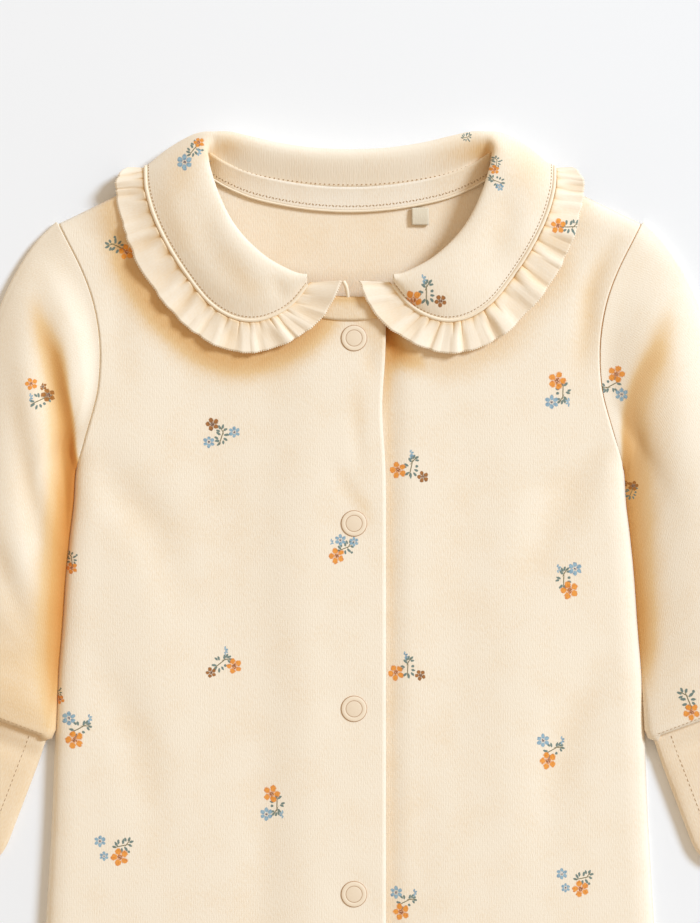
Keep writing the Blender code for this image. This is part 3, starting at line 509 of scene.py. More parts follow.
# Leaves of one sprig, for each kind, in millimetres round their middle
LEAF_DABS = (
    # x, y, turn, half length, half width, olive
    (
        (-0.6, -1.2, 58, 3.6, 0.2, 1), (1.9, 2, 30, 1.9, 0.18, 1), (0.4, 3, 105, 1, 0.36, 0),
        (1.5, 4.1, 80, 0.9, 0.34, 0), (2.9, 3.9, 45, 0.9, 0.34, 0), (4.2, 3, 15, 0.9, 0.34, 0),
        (3.9, 1.5, -25, 0.8, 0.32, 0), (-2.4, 1.2, 130, 0.9, 0.34, 0), (-3.6, 0.4, 165, 0.8, 0.32, 0),
        (-3.6, -3.4, 195, 1, 0.36, 0), (-2.2, -5, 250, 1.1, 0.36, 0), (0.2, -5.2, -75, 0.9, 0.34, 0),
        (1.6, -3.4, -40, 0.8, 0.34, 0), (2.6, -1.4, -15, 0.6, 0.4, 0),
    ),
    (
        (-0.4, 0.2, 12, 3.4, 0.2, 1), (2.8, 1.7, 52, 1.7, 0.18, 1), (-3.4, 1.2, 120, 1, 0.36, 0),
        (-2.2, 2.4, 95, 0.9, 0.34, 0), (-4.4, -0.4, 165, 0.9, 0.34, 0), (0.4, 2.6, 80, 1, 0.36, 0),
        (1.6, 3.6, 105, 0.8, 0.32, 0), (3.6, 3.8, 60, 0.9, 0.34, 0), (4.8, 2.4, 15, 0.9, 0.34, 0),
        (4.2, 0.4, -30, 0.8, 0.34, 0), (2, -1.6, -55, 1.1, 0.36, 0), (-0.4, -2.2, -95, 0.9, 0.34, 0),
        (-2.4, -2, 215, 0.8, 0.32, 0), (3.4, -3, -40, 0.5, 0.38, 0),
    ),
)

FLOWER_KINDS = ("orange", "blue", "brown", "bud")
PRINT_CELL = 8.0
PRINT_REACH = 3.4
LEAF_CELL = 40.0
LEAF_REACH = 13.0
OFF_PRINT = -10.0

# How the dabs of the table are drawn: spread, length, width, and what green ones add to that
LEAF_SPREAD = 0.74
LEAF_LONG = 1.06
LEAF_WIDE = 1.15
GREEN_WIDER = 0.30

# Knit: width of a rib and height of a course
WALE = 0.92
COURSE = 0.80


class Wire:
    """A number on its way through a material's nodes. Arithmetic on it adds Math nodes."""

    def __init__(self, nodes, socket):
        self.nodes = nodes
        self.socket = socket

    def math(self, operation, *others):
        return self.nodes.math(operation, self, *others)

    def __add__(self, other):
        return self.math("ADD", other)

    def __sub__(self, other):
        return self.math("SUBTRACT", other)

    def __rsub__(self, other):
        return self.nodes.math("SUBTRACT", other, self)

    def __mul__(self, other):
        return self.math("MULTIPLY", other)

    def __truediv__(self, other):
        return self.math("DIVIDE", other)

    def __abs__(self):
        return self.math("ABSOLUTE")

    __radd__ = __add__
    __rmul__ = __mul__

    def least(self, other):
        return self.math("MINIMUM", other)

    def most(self, other):
        return self.math("MAXIMUM", other)

    def held(self):
        """The number held between 0 and 1."""
        return self.most(0.0).least(1.0)


class Nodes:
    """A tree of shader nodes."""

    def __init__(self, owner):
        owner.use_nodes = True
        self.tree = owner.node_tree

    def node(self, kind, settings, *values, **named):
        """A node of a kind, its settings made first, then the values or links of its sockets."""
        made = self.tree.nodes.new(kind)
        for key, value in settings.items():
            if key == "stops":
                ramp = made.color_ramp.elements
                while len(ramp) < len(value):
                    ramp.new(1.0)
                for element, (place, colour) in zip(ramp, value):
                    element.position = place
                    element.color = colour
            else:
                setattr(made, key, value)
        for place, value in [*enumerate(values), *named.items()]:
            self.feed(made.inputs[place], value)
        return made

    def feed(self, socket, value):
        if isinstance(value, Wire):
            value = value.socket
        if isinstance(value, bpy.types.NodeSocket):
            self.tree.links.new(value, socket)
        else:
            socket.default_value = value

    def math(self, operation, *values):
        return Wire(self, self.node("ShaderNodeMath", {"operation": operation}, *values).outputs[0])

    def split(self, vector):
        parts = self.node("ShaderNodeSeparateXYZ", {}, vector).outputs
        return [Wire(self, part) for part in parts]

    def ramp(self, share, stops):
        return self.node("ShaderNodeValToRGB", {"stops": stops}, share).outputs[0]


class Finish(Nodes):
    """One material: its Principled shader and the nodes that feed it."""

    def __init__(self, name, roughness, sheen=0.0, specular=0.3):
        self.material = bpy.data.materials.new(name)
        super().__init__(self.material)
        self.shader = self.tree.nodes["Principled BSDF"]
        self.set("Roughness", roughness)
        self.set("Specular IOR Level", specular)
        self.set("Sheen Weight", sheen)
        self.set("Sheen Roughness", 0.5)

    def set(self, name, value):
        self.feed(self.shader.inputs[name], value)

    def uv(self, layer):
        return self.node("ShaderNodeUVMap", {"uv_map": layer}).outputs[0]

    def place(self):
        return self.node("ShaderNodeTexCoord", {}).outputs["Object"]

    def attribute(self, name):
        return Wire(self, self.node("ShaderNodeAttribute", {"attribute_name": name}).outputs["Fac"])

    def noise(self, vector, scale, detail=2.0):
        made = self.node("ShaderNodeTexNoise", {}, Vector=vector, Scale=scale, Detail=detail)
        return Wire(self, made.outputs["Fac"])

    def mix(self, share, first, second):
        """A colour between two others."""
        made = self.node("ShaderNodeMix", {"data_type": "RGBA"})
        for socket, value in ((0, share), (6, first), (7, second)):
            self.feed(made.inputs[socket], value)
        return made.outputs[2]

    def bump(self, height, strength, distance):
        made = self.node("ShaderNodeBump", {}, Strength=strength, Distance=distance, Height=height)
        self.set("Normal", made.outputs[0])


def linear(red, green, blue):
    """A colour given as it looks on a screen, 0 to 255, turned into light."""
    made = []
    for value in (red, green, blue):
        value /= 255.0
        made.append(value / 12.92 if value <= 0.04045 else ((value + 0.055) / 1.055) ** 2.4)
    return (*made, 1.0)


CREAM = (0.943, 0.816, 0.645, 1.0)
# Cloth colour under full painted shade, darker and warmer; the knit's random tone leans a little towards it
# too
CREAM_SHADE_AND_TONE = (0.53, 0.175, 0.024, 1.0)
TAPE_CREAM = (0.970, 0.865, 0.715, 1.0)
RUFFLE_CREAM = (0.950, 0.815, 0.640, 1.0)
# The ruffle's colour under full painted shade; its random tone leans a little towards it too
RUFFLE_SHADE_AND_TONE = (0.74, 0.36, 0.11, 1.0)
TAB_LIGHT = linear(226, 212, 186)
# The tab's colour under full painted shade, reached only by its random tone and the painted shade of its
# knit's grooves
TAB_SHADE_AND_TONE = linear(196, 172, 136)
PIPING_CREAM = linear(252, 233, 204)
# Tan of the painted shade in the armhole seam's groove
SEAM_PAINTED_SHADE_TAN = linear(224, 178, 128)
# Tan of the stitches: the thread's own colour with painted shade of its needle holes
STITCH_AND_HOLE_SHADE_TAN = linear(196, 160, 120)
EDGE_CREAM = linear(251, 233, 206)
POPPER_LIGHT = linear(244, 224, 196)
POPPER_DARK = linear(234, 211, 182)
RING = linear(164, 112, 64)
ORANGE = linear(242, 156, 52)
ORANGE_DARK = linear(206, 104, 20)
BROWN = linear(170, 104, 34)
BROWN_DARK = linear(92, 56, 22)
BLUE = linear(148, 182, 196)
BLUE_DARK = linear(78, 112, 146)
HEART = linear(116, 74, 56)
LEAF = linear(98, 122, 116)
LEAF_OLIVE = linear(122, 112, 78)
FLOOR_WHITE = (0.90, 0.90, 0.90, 1.0)
HORIZON = (1.24, 1.19, 1.10, 1.0)
OVERHEAD = (1.0, 0.83, 0.63, 1.0)
KEY_COLOUR = (0.655, 0.81, 1.0)


def ease(value):
    """A smooth step from 0 to 1."""
    value = np.clip(value, 0.0, 1.0)
    return value * value * (3.0 - 2.0 * value)


def bell(value):
    """A smooth hump, 1 in the middle and falling to nothing about 2 away from it."""
    return np.exp(-(value**2))


def arch(share, power=0.8):
    """A rounded arch across a tube, 0 at its edges and 1 in the middle."""
    return np.maximum(np.sin(np.pi * np.clip(share, 0.0, 1.0)), 0.0) ** power


def shares(count, press=0.35):
    """Shares from 0 to 1 across a panel, closer together near both seams."""
    even = np.linspace(0.0, 1.0, count)
    return even - press * np.sin(2 * math.pi * even) / (2 * math.pi)


def places(*columns):
    """Places put together from their x, y and z."""
    return np.stack(columns, -1)


def through(points, steps):
    """Points on a smooth curve through the given ones, steps to each stretch."""
    points = np.asarray(points, float)
    around = np.vstack([2 * points[0] - points[1], points, 2 * points[-1] - points[-2]])
    t = (np.arange(steps) / steps)[:, None]
    made = []
    for a, b, c, d in zip(around, around[1:], around[2:], around[3:]):
        bend = t * t * (a - 2.5 * b + 2 * c - d / 2)
        made.append(b + t * (c - a) / 2 + bend + t * t * t * (1.5 * (b - c) + (d - a) / 2))
    return np.concatenate([*made, points[-1:]])


def reader(table, column=1):
    """A function that reads one column of a table at any key, on a smooth curve."""
    rows = through(table, 8)
    if rows[0, 0] > rows[-1, 0]:
        rows = rows[::-1]
    return lambda key: np.interp(key, rows[:, 0], rows[:, column])


half_width = reader(BODY_EDGE)
leg_edge = reader(LEG_EDGE)
side_end = reader(LOWER_ROWS)
sleeve_outer_x = reader(SLEEVE_OUTER, 1)
sleeve_outer_y = reader(SLEEVE_OUTER, 2)
sleeve_inner_y = reader(SLEEVE_INNER_Y)
sleeve_loft = reader(SLEEVE_LOFT, 1)
sleeve_crest = reader(SLEEVE_LOFT, 2)


def beside(x, y, line):
    """Where (x, y) lies beside a smooth line: how far off, whether outside it, and the line's values."""
    line = through(line, 4)
    nearest = np.full(np.shape(x), np.inf)
    turn = np.zeros(np.shape(x))
    values = [0.0] * (len(line[0]) - 2)
    for start, end in zip(line, line[1:]):
        run = end[:2] - start[:2]
        t = np.clip(((x - start[0]) * run[0] + (y - start[1]) * run[1]) / (run @ run), 0.0, 1.0)
        off_x = x - start[0] - t * run[0]
        off_y = y - start[1] - t * run[1]
        away = np.hypot(off_x, off_y)
        closer = away < nearest
        nearest = np.where(closer, away, nearest)
        turn = np.where(closer, off_x * run[1] - off_y * run[0], turn)
        ends = zip(start[2:], end[2:], values)
        values = [np.where(closer, a + t * (b - a), value) for a, b, value in ends]
    return nearest, turn < 0.0, values


def crease(x, y, lines):
    """How far the creases in lines lower the cloth at (x, y)."""
    total = np.zeros(np.shape(x))
    for line in lines:
        away, _, (depth, width) = beside(x, y, line)
        total += depth * bell(away / width)
    return total


def fold_painted_shade(x, y, line):
    """How much painted shade a fold puts on the cloth at (x, y): sharply on its inner side, softly on its
    outer.
    """
    away, outside, (share, inner, outer) = beside(x, y, line)
    return share * bell(away / np.where(outside, outer, inner))


def back_height(x, y):
    """Middle of the back panel's wall: on the floor, and over the collar's fall near the neck."""
    reach = np.hypot(x / NECK_RAISE_REACH[0], (y - NECK_RAISE_Y) / NECK_RAISE_REACH[1])
    return FLOOR_MID + NECK_RAISE * (1.0 - ease((reach - 1.0) / 0.3))


def seam_distance(x, y):
    """Distance in from the closed seams: side, shoulder and inner leg."""
    x = np.abs(x)
    side = half_width(y) - x + EDGE_ROUND * ease((y - UNDERARM_Y) / 18.0)
    shoulder = (x - NECK_POINT[0]) * SHOULDER_NORMAL[0] + (y - NECK_POINT[1]) * SHOULDER_NORMAL[1]
    above_crotch = (y - CROTCH_Y) / (LAP_END_Y - CROTCH_Y)
    inner = np.where(y < LAP_END_Y, x - leg_edge(y) + EDGE_ROUND * ease(above_crotch), EDGE_ROUND)
    return np.maximum(np.minimum(np.minimum(side, shoulder), inner), 0.0)


def lap_share(x, y):
    """1 where the two fronts lap, fading to 0 beside the placket and below it."""
    right = np.maximum(-x - PLACKET_UNDER - 1.0, 0.0) / LAP_FADE
    left = np.maximum(x - PLACKET_LAP - 1.0, 0.0) / LAP_UNDER_FADE
    return (1.0 - ease(right + left)) * ease((y - CROTCH_Y + LAP_END_FADE) / LAP_END_FADE)


def front_height(x, y):
    """Middle of the front's wall, before one front laps over the other."""
    inward = 1.0 - np.minimum(seam_distance(x, y) / EDGE_ROUND, 1.0)
    loft = BODY_LOFT * np.sqrt(1.0 - inward * inward)
    loft = loft - np.minimum(crease(np.abs(x), y, BODY_CREASES), 0.8 * loft)
    lap = LAP_SINK * lap_share(x, y) * np.maximum(0.0, 1.0 - loft / BODY_LOFT)
    return back_height(x, y) + PLY_STEP + loft + lap


def over_height(x, y):
    """Middle of the wall of the front that laps over."""
    below = 0.5 * ease((LAP_END_Y - y) / 6.0)
    return front_height(x, y) + (LAP_RISE + below) * lap_share(x, y)


def under_height(x, y):
    """Middle of the wall of the front that lies under."""
    return front_height(x, y) - LAP_SINK * lap_share(x, y)


def spun(right, up, turn):
    """A place turned round the origin, by degrees."""
    cos, sin = math.cos(math.radians(turn)), math.sin(math.radians(turn))
    return right * cos - up * sin, right * sin + up * cos


def sprig_parts(name):
    """The flowers and the leaves of a piece's sprigs, placed on the piece."""
    flowers = []
    leaves = []
    for x, y, turn, mirrored, layout, size in SPRIGS.get(name, ()):
        side = -1.0 if mirrored else 1.0
        blooms, (leaf_x, leaf_y, leaf_turn, leaf_kind) = SPRIG_LAYOUTS[layout]
        for bloom_x, bloom_y, radius, kind in blooms:
            right, up = spun(side * bloom_x * size, bloom_y * size, turn)
            flowers.append((x + right, y + up, radius * size, turn, FLOWER_KINDS.index(kind)))
        right, up = spun(side * leaf_x * size, leaf_y * size, turn)
        leaves.append((x + right, y + up, size, turn + side * leaf_turn, leaf_kind))
    return flowers, leaves


def layered(flowers):
    """The flowers shared out over two layers, so that neighbours are in different ones."""
    layers = ([], [])
    for flower in flowers:
        room = []
        for layer in layers:
            gaps = [math.dist(flower[:2], other[:2]) - other[2] for other in layer]
            room.append(min(gaps, default=1000.0))
        layers[0 if room[0] >= room[1] else 1].append(flower)
    return layers


def uv_layer(data, name, corners):
    """A UV layer with a place for every corner of every face."""
    made = data.uv_layers.new(name=name)
    made.data.foreach_set("uv", np.ascontiguousarray(corners, float).ravel())


def print_layers(data, name, plan, side):
    """UV layers that hold, round each flower or leaf, the place seen from its own middle.

    That place fills one cell of the UV map, and kinds lie in cells side by side. Faces that are
    far from every spot are left in a far corner. side is +1 on a piece's top and -1 below.
    """
    corners = plan.reshape(-1, 4, 2)
    middles = corners.mean(axis=1)
    layers = {"flower_a": [], "flower_b": [], "leaves": []}
    for key, shown in ((name, side > 0), (name + "_below", side < 0)):
        flowers, leaves = sprig_parts(key)
        for spots, found in zip(layers.values(), (*layered(flowers), leaves)):
            spots += [(*spot, shown) for spot in found]
    for layer, spots in layers.items():
        cell, reach = (LEAF_CELL, LEAF_REACH) if layer == "leaves" else (PRINT_CELL, PRINT_REACH)
        uv = np.full(corners.shape, OFF_PRINT)
        best = np.full(len(middles), reach)
        for x, y, size, turn, kind, shown in spots:
            away = np.hypot(middles[:, 0] - x, middles[:, 1] - y) / size
            picked = (away < best) & shown
            best[picked] = away[picked]
            right, up = spun((corners[picked, :, 0] - x) / size, (corners[picked, :, 1] - y) / size, -turn)
            uv[picked] = places(right / cell + 0.5 + kind, up / cell + 0.5)
        uv_layer(data, layer, uv)


def meshed(name, mesh):
    """The finished mesh that a bmesh holds."""
    data = bpy.data.meshes.new(name)
    mesh.to_mesh(data)
    mesh.free()
    return data


def added(name, data, *finishes):
    """An object in the scene, its data dressed in the finishes."""
    for finish in finishes:
        data.materials.append(finish.material)
    made = bpy.data.objects.new(name, data)
    bpy.context.scene.collection.objects.link(made)
    return made


def cloth(name, points, wall, finishes, grain=None, hollow=0.0, flip=False, sides=None, split=0):
    """A piece of cloth: a grid whose rows and columns stand at points[row][column].

    grain is the flat cloth's place at each point in millimetres, hollow the painted shade that
    darkens and warms each point's colour, from 0 to 1. sides is +1 or -1 at each column, for a tube's
    top and bottom, and split the number of last rows that stay open along the middle, between two legs.
    """
    rows, columns = points.shape[:2]
    mesh = bmesh.new()
    bmesh.ops.create_grid(mesh, x_segments=columns - 1, y_segments=rows - 1, size=1.0)
    if flip:
        bmesh.ops.reverse_faces(mesh, faces=mesh.faces)
    data = meshed(name, mesh)
    data.vertices.foreach_set("co", (points * METRES).ravel())
    # The painted shade of each point, which the material turns into a darker, warmer colour
    deep = data.attributes.new("hollow", "FLOAT", "POINT")
    deep.data.foreach_set("value", np.broadcast_to(hollow, points.shape[:2]).ravel())
    index = np.zeros(len(data.loops), int)
    data.loops.foreach_get("vertex_index", index)
    plan = points[..., :2].reshape(-1, 2)[index]
    uv_layer(data, "grain", plan if grain is None else grain.reshape(-1, 2)[index])
    if name in SPRIGS:
        side = np.ones(len(data.polygons)) if sides is None else sides[(index % columns)[::4]]
        print_layers(data, name, plan, side)
    if split or sides is not None:
        seal(data, rows, columns, split, sides is not None)
    data.shade_smooth()
    made = added(name + "_cloth", data, *finishes)
    solid = made.modifiers.new("wall", "SOLIDIFY")
    solid.thickness = wall * METRES
    solid.offset = 0.0
    if len(finishes) > 1:
        solid.material_offset = 1
    return made


def seal(data, rows, columns, split, is_tube):
    """Joins the edges that meet, once the faces between two legs are out."""
    mesh = bmesh.new()
    mesh.from_mesh(data)
    mesh.faces.ensure_lookup_table()
    middle = columns // 2 - 1
    gap = [mesh.faces[row * (columns - 1) + middle] for row in range(rows - split, rows - 1)]
    bmesh.ops.delete(mesh, geom=gap, context="FACES")
    bmesh.ops.remove_doubles(mesh, verts=mesh.verts, dist=0.01 * METRES)
    bmesh.ops.dissolve_degenerate(mesh, edges=mesh.edges, dist=0.001 * METRES)
    if is_tube:
        bmesh.ops.recalc_face_normals(mesh, faces=mesh.faces)
    mesh.to_mesh(data)
    mesh.free()


def dressed(piece, node, cut, area=None):
    """Puts a piece of cloth in its CAD node's place; what it was cut to is worked out but not passed on."""
    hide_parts(node)
    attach(piece, "root")
    width, length = cut[0] * METRES, cut[1] * METRES
    whole = None if area is None else area * width * length


def tinted(base, deep, depth):
    """A cloth's colour under painted shade from 0 to 1: darker and warmer with depth, as light is tinted
    each time it turns between folds.
    """
    return tuple(a * (b / a) ** depth for a, b in zip(base[:3], deep[:3])) + (1.0,)


def knit(finish, base, deep, relief):
    """Cream cotton interlock: its colour with painted shade, and the ribs and courses of the knit as bump.
    """
    grain = finish.uv("grain")
    u, v, _ = finish.split(grain)
    drift = finish.noise(grain, 0.5, 1.0)
    rib = abs(((u + drift * 0.8) * (math.pi / WALE)).math("SINE"))
    step = abs((u * (math.pi / WALE)).math("COSINE"))
    course = ((v + step * 0.3) * (2 * math.pi / COURSE)).math("SINE")
    stretched = finish.node(
        "ShaderNodeMapping", {}, Vector=grain, Rotation=(0.0, 0.0, 0.2), Scale=(1.5, 0.55, 1.0)
    )
    fuzz = finish.noise(stretched.outputs[0], 1.2, 3.0)
    blotch = finish.noise(grain, 0.06, 2.0)
    finish.bump(rib * 0.20 + course * 0.04 + fuzz * 1.3, relief, 0.0003)
    # Painted shade, darker and warmer: the cloth's painted shade attribute, and a little between the ribs;
    # random tone from the blotches and fuzz shifts it too
    deepness = finish.attribute("hollow") * 0.9 + (1.0 - rib) * 0.02
    deepness = deepness + (blotch - 0.5) * 0.12 + (fuzz - 0.5) * 0.16
    depths = (0.0, 0.25, 0.5, 0.75, 1.0)
    return finish.ramp(deepness, [(depth, tinted(base, deep, depth)) for depth in depths])


def flower(finish, layer, ground):
    """One layer of small flowers, painted over the ground colour."""
    u, v, _ = finish.split(finish.uv(layer))
    kind = u.math("FLOOR")
    brush = finish.noise(finish.uv("grain"), 1.3, 3.0)
    blot = finish.noise(finish.uv("grain"), 0.55, 1.0)
    specks = finish.noise(finish.uv("grain"), 2.6, 1.0)
    x = (u - kind - 0.5) * PRINT_CELL + (brush - 0.5) * 0.34
    y = (v - v.math("FLOOR") - 0.5) * PRINT_CELL + (blot - 0.5) * 0.4
    is_blue, is_brown, is_bud = (kind.math("COMPARE", number, 0.1) for number in (1.0, 2.0, 3.0))
    away = (x * x + y * y).math("SQRT")
    petals = 5.0 + is_blue + is_bud * 3.0
    turn = y.math("ARCTAN2", x)
    part = turn * petals / (2 * math.pi) + 20.0
    bend = (part.math("FRACT") - 0.5) * (2 * math.pi) / petals
    along = (away * bend.math("COSINE") - 0.62) / 0.37
    across = away * bend.math("SINE") / (0.36 - is_blue * 0.06 - is_bud * 0.14)
    petal = (along * along + across * across).math("SQRT")
    fan = 1.0 - is_bud * (1.0 - ((turn.math("COSINE") - 0.1) / 0.2).held())
    middle = (0.36 - is_blue * 0.12 - away) / 0.10
    cover = ((1.08 - petal) / 0.30).most(middle * (1.0 - is_bud)).held() * fan
    edge = ((petal - 0.62) / 0.4).held() * 0.55
    shade = (edge + ((brush - 0.50) * 4.0).held() * 0.7 + ((blot - 0.5) * 1.6).held()).held()
    heart = ((0.30 - away) / 0.16).held() * ((specks - 0.40) / 0.12).held() * (1.0 - is_bud)
    pale = ((0.42 - away) / 0.12).held() * ((0.42 - specks) / 0.08).held()
    cool = is_blue.most(is_bud)
    light = finish.mix(cool, finish.mix(is_brown, ORANGE, BROWN), BLUE)
    dark = finish.mix(cool, finish.mix(is_brown, ORANGE_DARK, BROWN_DARK), BLUE_DARK)
    painted = finish.mix(heart * 0.9, finish.mix(shade, light, dark), HEART)
    painted = finish.mix(pale * 0.75, painted, CREAM)
    return finish.mix(cover * 0.95, ground, painted)


def leaves(finish, ground):
    """The leaves and stems of the sprigs, painted over the ground colour."""
    u, v, _ = finish.split(finish.uv("leaves"))
    kind = u.math("FLOOR")
    x = (u - kind - 0.5) * LEAF_CELL
    y = (v - v.math("FLOOR") - 0.5) * LEAF_CELL
    place = finish.node("ShaderNodeCombineXYZ", {}, x, y).outputs[0]
    brush = (finish.noise(finish.uv("grain"), 1.6, 1.0) - 0.5) * 0.7
    for olive, paint in ((0, LEAF), (1, LEAF_OLIVE)):
        first, second = (nearest_dab(finish, place, dabs, olive) for dabs in LEAF_DABS)
        chosen = first + (second - first) * kind.held()
        cover = ((1.12 - chosen - brush) / 0.3).held()
        ground = finish.mix(cover * 0.92, ground, paint)
    return ground


def nearest_dab(finish, place, dabs, olive):
    """How far a place is from the nearest dab of one colour, as a share of the dab's size."""
    field = None
    for x, y, turn, long, wide, is_olive in dabs:
        if is_olive != olive:
            continue
        mapped = finish.node(
            "ShaderNodeMapping",
            {"vector_type": "TEXTURE"},
            Vector=place,
            Location=(LEAF_SPREAD * x, LEAF_SPREAD * y, 0.0),
            Rotation=(0.0, 0.0, math.radians(turn)),
            Scale=(LEAF_LONG * long, (LEAF_WIDE + GREEN_WIDER * (1 - olive)) * wide, 1.0),
        )
        length = finish.node("ShaderNodeVectorMath", {"operation": "LENGTH"}, mapped.outputs[0])
        near = Wire(finish, length.outputs["Value"])
        field = near if field is None else field.least(near)
    return field


def interlock(name, base=CREAM, deep=CREAM_SHADE_AND_TONE, relief=0.30, is_printed=False):
    """The suit's cotton knit, plain or with its flower print."""
    finish = Finish(name, roughness=0.86, sheen=0.15)
    colour = knit(finish, base, deep, relief)
    if is_printed:
        colour = leaves(finish, colour)
        colour = flower(finish, "flower_b", colour)
        colour = flower(finish, "flower_a", colour)
    finish.set("Base Color", colour)
    return finish


def thread(name, colour, dip=0.7):
    """Sewing thread: a twist along each stitch, and slight changes of colour."""
    finish = Finish(name, roughness=0.7, sheen=0.1)
    twist = finish.noise(finish.place(), 2600.0, 1.0)
    dark = tuple(dip * part for part in colour[:3]) + (1.0,)
    finish.set("Base Color", finish.mix(twist, colour, dark))
    finish.bump(twist, 0.3, 0.0001)
    return finish


def popper_enamel():
    """Cloth-coloured enamel with a thin tan ring at the rim and another round the middle."""
    finish = Finish("popper enamel", roughness=0.55)
    x, y, _ = finish.split(finish.uv("ring"))
    away = (x * x + y * y).math("SQRT")
    rim = (1.0 - abs(away - (POPPER_RADIUS - 0.17)) / 0.26).held()
    inner = (1.0 - abs(away - POPPER_INNER) / 0.22).held()
    disc = ((POPPER_INNER - away) / 0.3).held()
    speck = finish.noise(finish.place(), 900.0, 2.0)
    body = finish.mix((disc * 0.4 + (speck - 0.5) * 0.5).held(), POPPER_LIGHT, POPPER_DARK)
    finish.set("Base Color", finish.mix((rim * 0.95).most(inner * 0.85), body, RING))
    finish.bump(speck, 0.2, 0.0001)
    return finish


def body_edges(neck_rows, middle):
    """Inner and outer edge of a body panel. middle gives the inner one's x from neck to crotch."""
    neck_x, neck_y, neck_side = through(neck_rows, 6).T
    top, top_side = LOWER_ROWS[0]
    fine = np.arange(LAP_END_Y, CROTCH_Y, -CROTCH_STEP)
    y = np.concatenate([np.arange(top, LAP_END_Y + 1.0, -BODY_STEP), fine])
    leg_y = np.linspace(CROTCH_Y, ANKLE_Y, LEG_ROWS)
    inner = [places(np.maximum(neck_x, 0.0), neck_y), places(middle(y), y), places(leg_edge(leg_y), leg_y)]
    ends = (neck_side, np.minimum(side_end(y), top_side), leg_y)
    outer = [places(half_width(end), end) for end in ends]
    between = np.linspace(0.0, 1.0, 6)[1:-1, None]
    for edge in (inner, outer):
        edge.insert(1, edge[0][-1] + between * (edge[1][0] - edge[0][-1]))
    return np.concatenate(inner), np.concatenate(outer)


def panel_plan(inner, outer, columns):
    """Places in plan from each inner edge point to the outer one on its row."""
    return inner[:, None, :] + shares(columns)[None, :, None] * (outer - inner)[:, None, :]


def popper_dimples(x, y):
    """How far the poppers draw in the cloth round them."""
    total = 0.0
    for number in range(POPPERS):
        away = np.hypot(x - POPPER_X, y - POPPER_FIRST_Y + number * POPPER_PITCH)
        total = total + POPPER_DIMPLE * bell(np.maximum(away - POPPER_RADIUS + 0.8, 0.0) / DIMPLE_REACH)
    return total


def painted_ruffle_shadow(x, y):
    """How much painted shadow the ruffle puts on the front beside and below it."""
    edge = ruffle_edges()[1]
    edge = edge[edge[:, 2] > 4.0][::6]
    total = np.zeros(np.shape(x))
    left, down = RUFFLE_PAINTED_SHADOW_SHIFT
    for side, share in RUFFLE_PAINTED_SHADOW:
        away = [np.hypot(x - side * place[0] + left, y - place[1] + down) for place in edge]
        share = share * (0.5 + 0.5 * ease((RUFFLE_PAINTED_SHADOW_Y - y) / RUFFLE_PAINTED_SHADOW_FADE))
        total = np.maximum(total, share * bell(np.min(away, axis=0) / RUFFLE_PAINTED_SHADOW_REACH))
    return total


def front(name, side, lap, height):
    """One front with its leg. lap is how far it reaches past the middle line."""

    def edge(y):
        past = np.clip((LAP_END_Y - y) / (LAP_END_Y - CROTCH_Y), 0.0, 1.0)
        bow = LAP_BOW * bell((y - LAP_BOW_Y) / LAP_BOW_REACH) if side < 0 else 0.0
        return -(lap - bow) * np.sqrt(1.0 - past * past)

    inner, outer = body_edges(FRONT_NECK_ROWS, edge)
    plan = panel_plan(inner, outer, FRONT_COLUMNS)
    x, y = side * plan[..., 0], plan[..., 1]
    soft = crease(x, y, BODY_SOFT) * ease(seam_distance(x, y) / WAVE_FADE)
    warm = crease(x, y, FRONT_PAINTED_SHADE if side > 0 else LAP_PAINTED_SHADE)
    z = height(x, y) - soft - popper_dimples(x, y)
    if side > 0:
        z = z - PAINTED_SHADE_DIP * warm
    # Painted shade, darker and warmer: in the creases and soft waves, in the ruffle's painted shadow and
    # along the front's shade tables
    hollow = CREASE_PAINTED_SHADE * (crease(np.abs(x), y, BODY_CREASES) + np.maximum(soft, 0.0))
    hollow = np.maximum(np.maximum(hollow, painted_ruffle_shadow(x, y)), warm)
    made = cloth(name, places(x, y, z), WALL, (PRINTED, INSIDE), hollow=hollow, flip=side > 0)
    dressed(made, name, (outer[:, 0].max() + lap, BODY_LONG))


def back():
    half = panel_plan(*body_edges(BACK_NECK_ROWS, lambda y: 0.0 * y), BACK_COLUMNS)
    x, y = np.concatenate([half[:, ::-1] * (-1.0, 1.0), half], axis=1).transpose(2, 0, 1)
    # Painted shade on the inside of the back, darker towards the neck
    hollow = NECK_PAINTED_SHADE * ease((y - NECK_PAINTED_SHADE_Y) / NECK_PAINTED_SHADE_FADE)
    points = places(x, y, back_height(x, y))
    made = cloth("back", points, WALL, (PRINTED, INSIDE), hollow=hollow, flip=True, split=LEG_ROWS)
    dressed(made, "back", BACK_CUT, area=0.86)


def sleeve_edges(t, side):
    """The inner and outer edge of a sleeve at shares t of the way to its cuff."""
    y = sleeve_inner_y(t)
    clear = EDGE_CLEAR + FOLD_ROUND * sleeve_edge_gap(t) * ease(t / 0.1)
    return places(side * (half_width(y) + clear), y), places(side * sleeve_outer_x(t), sleeve_outer_y(t))


def cuff_share(t):
    """0 along a sleeve, rising to 1 where it opens at its cuff."""
    return ease((t - CUFF_FROM) / 0.17)


def sleeve_edge_gap(t):
    """How far apart the two walls are at a sleeve's folded edges: more at the open cuff."""
    return FOLD_GAP + (CUFF_GAP - FOLD_GAP) * cuff_share(t)


def round_corner(inner, outer):
    """A sleeve's inner edge, drawn in so that its corner at the cuff is round."""
    past = np.clip(1.0 - np.hypot(*(inner - inner[-1]).T) / SLEEVE_CORNER, 0.0, 1.0)
    cut = SLEEVE_CORNER * (1.0 - np.sqrt(1.0 - past * past))
    return inner + (cut / np.hypot(*(outer - inner).T))[:, None] * (outer - inner)


def armhole_y(share):
    """Height up the body of places along the armhole, from the underarm to the shoulder."""
    low = sleeve_inner_y(0.0)
    return low + share * (SLEEVE_OUTER[0][2] - low)


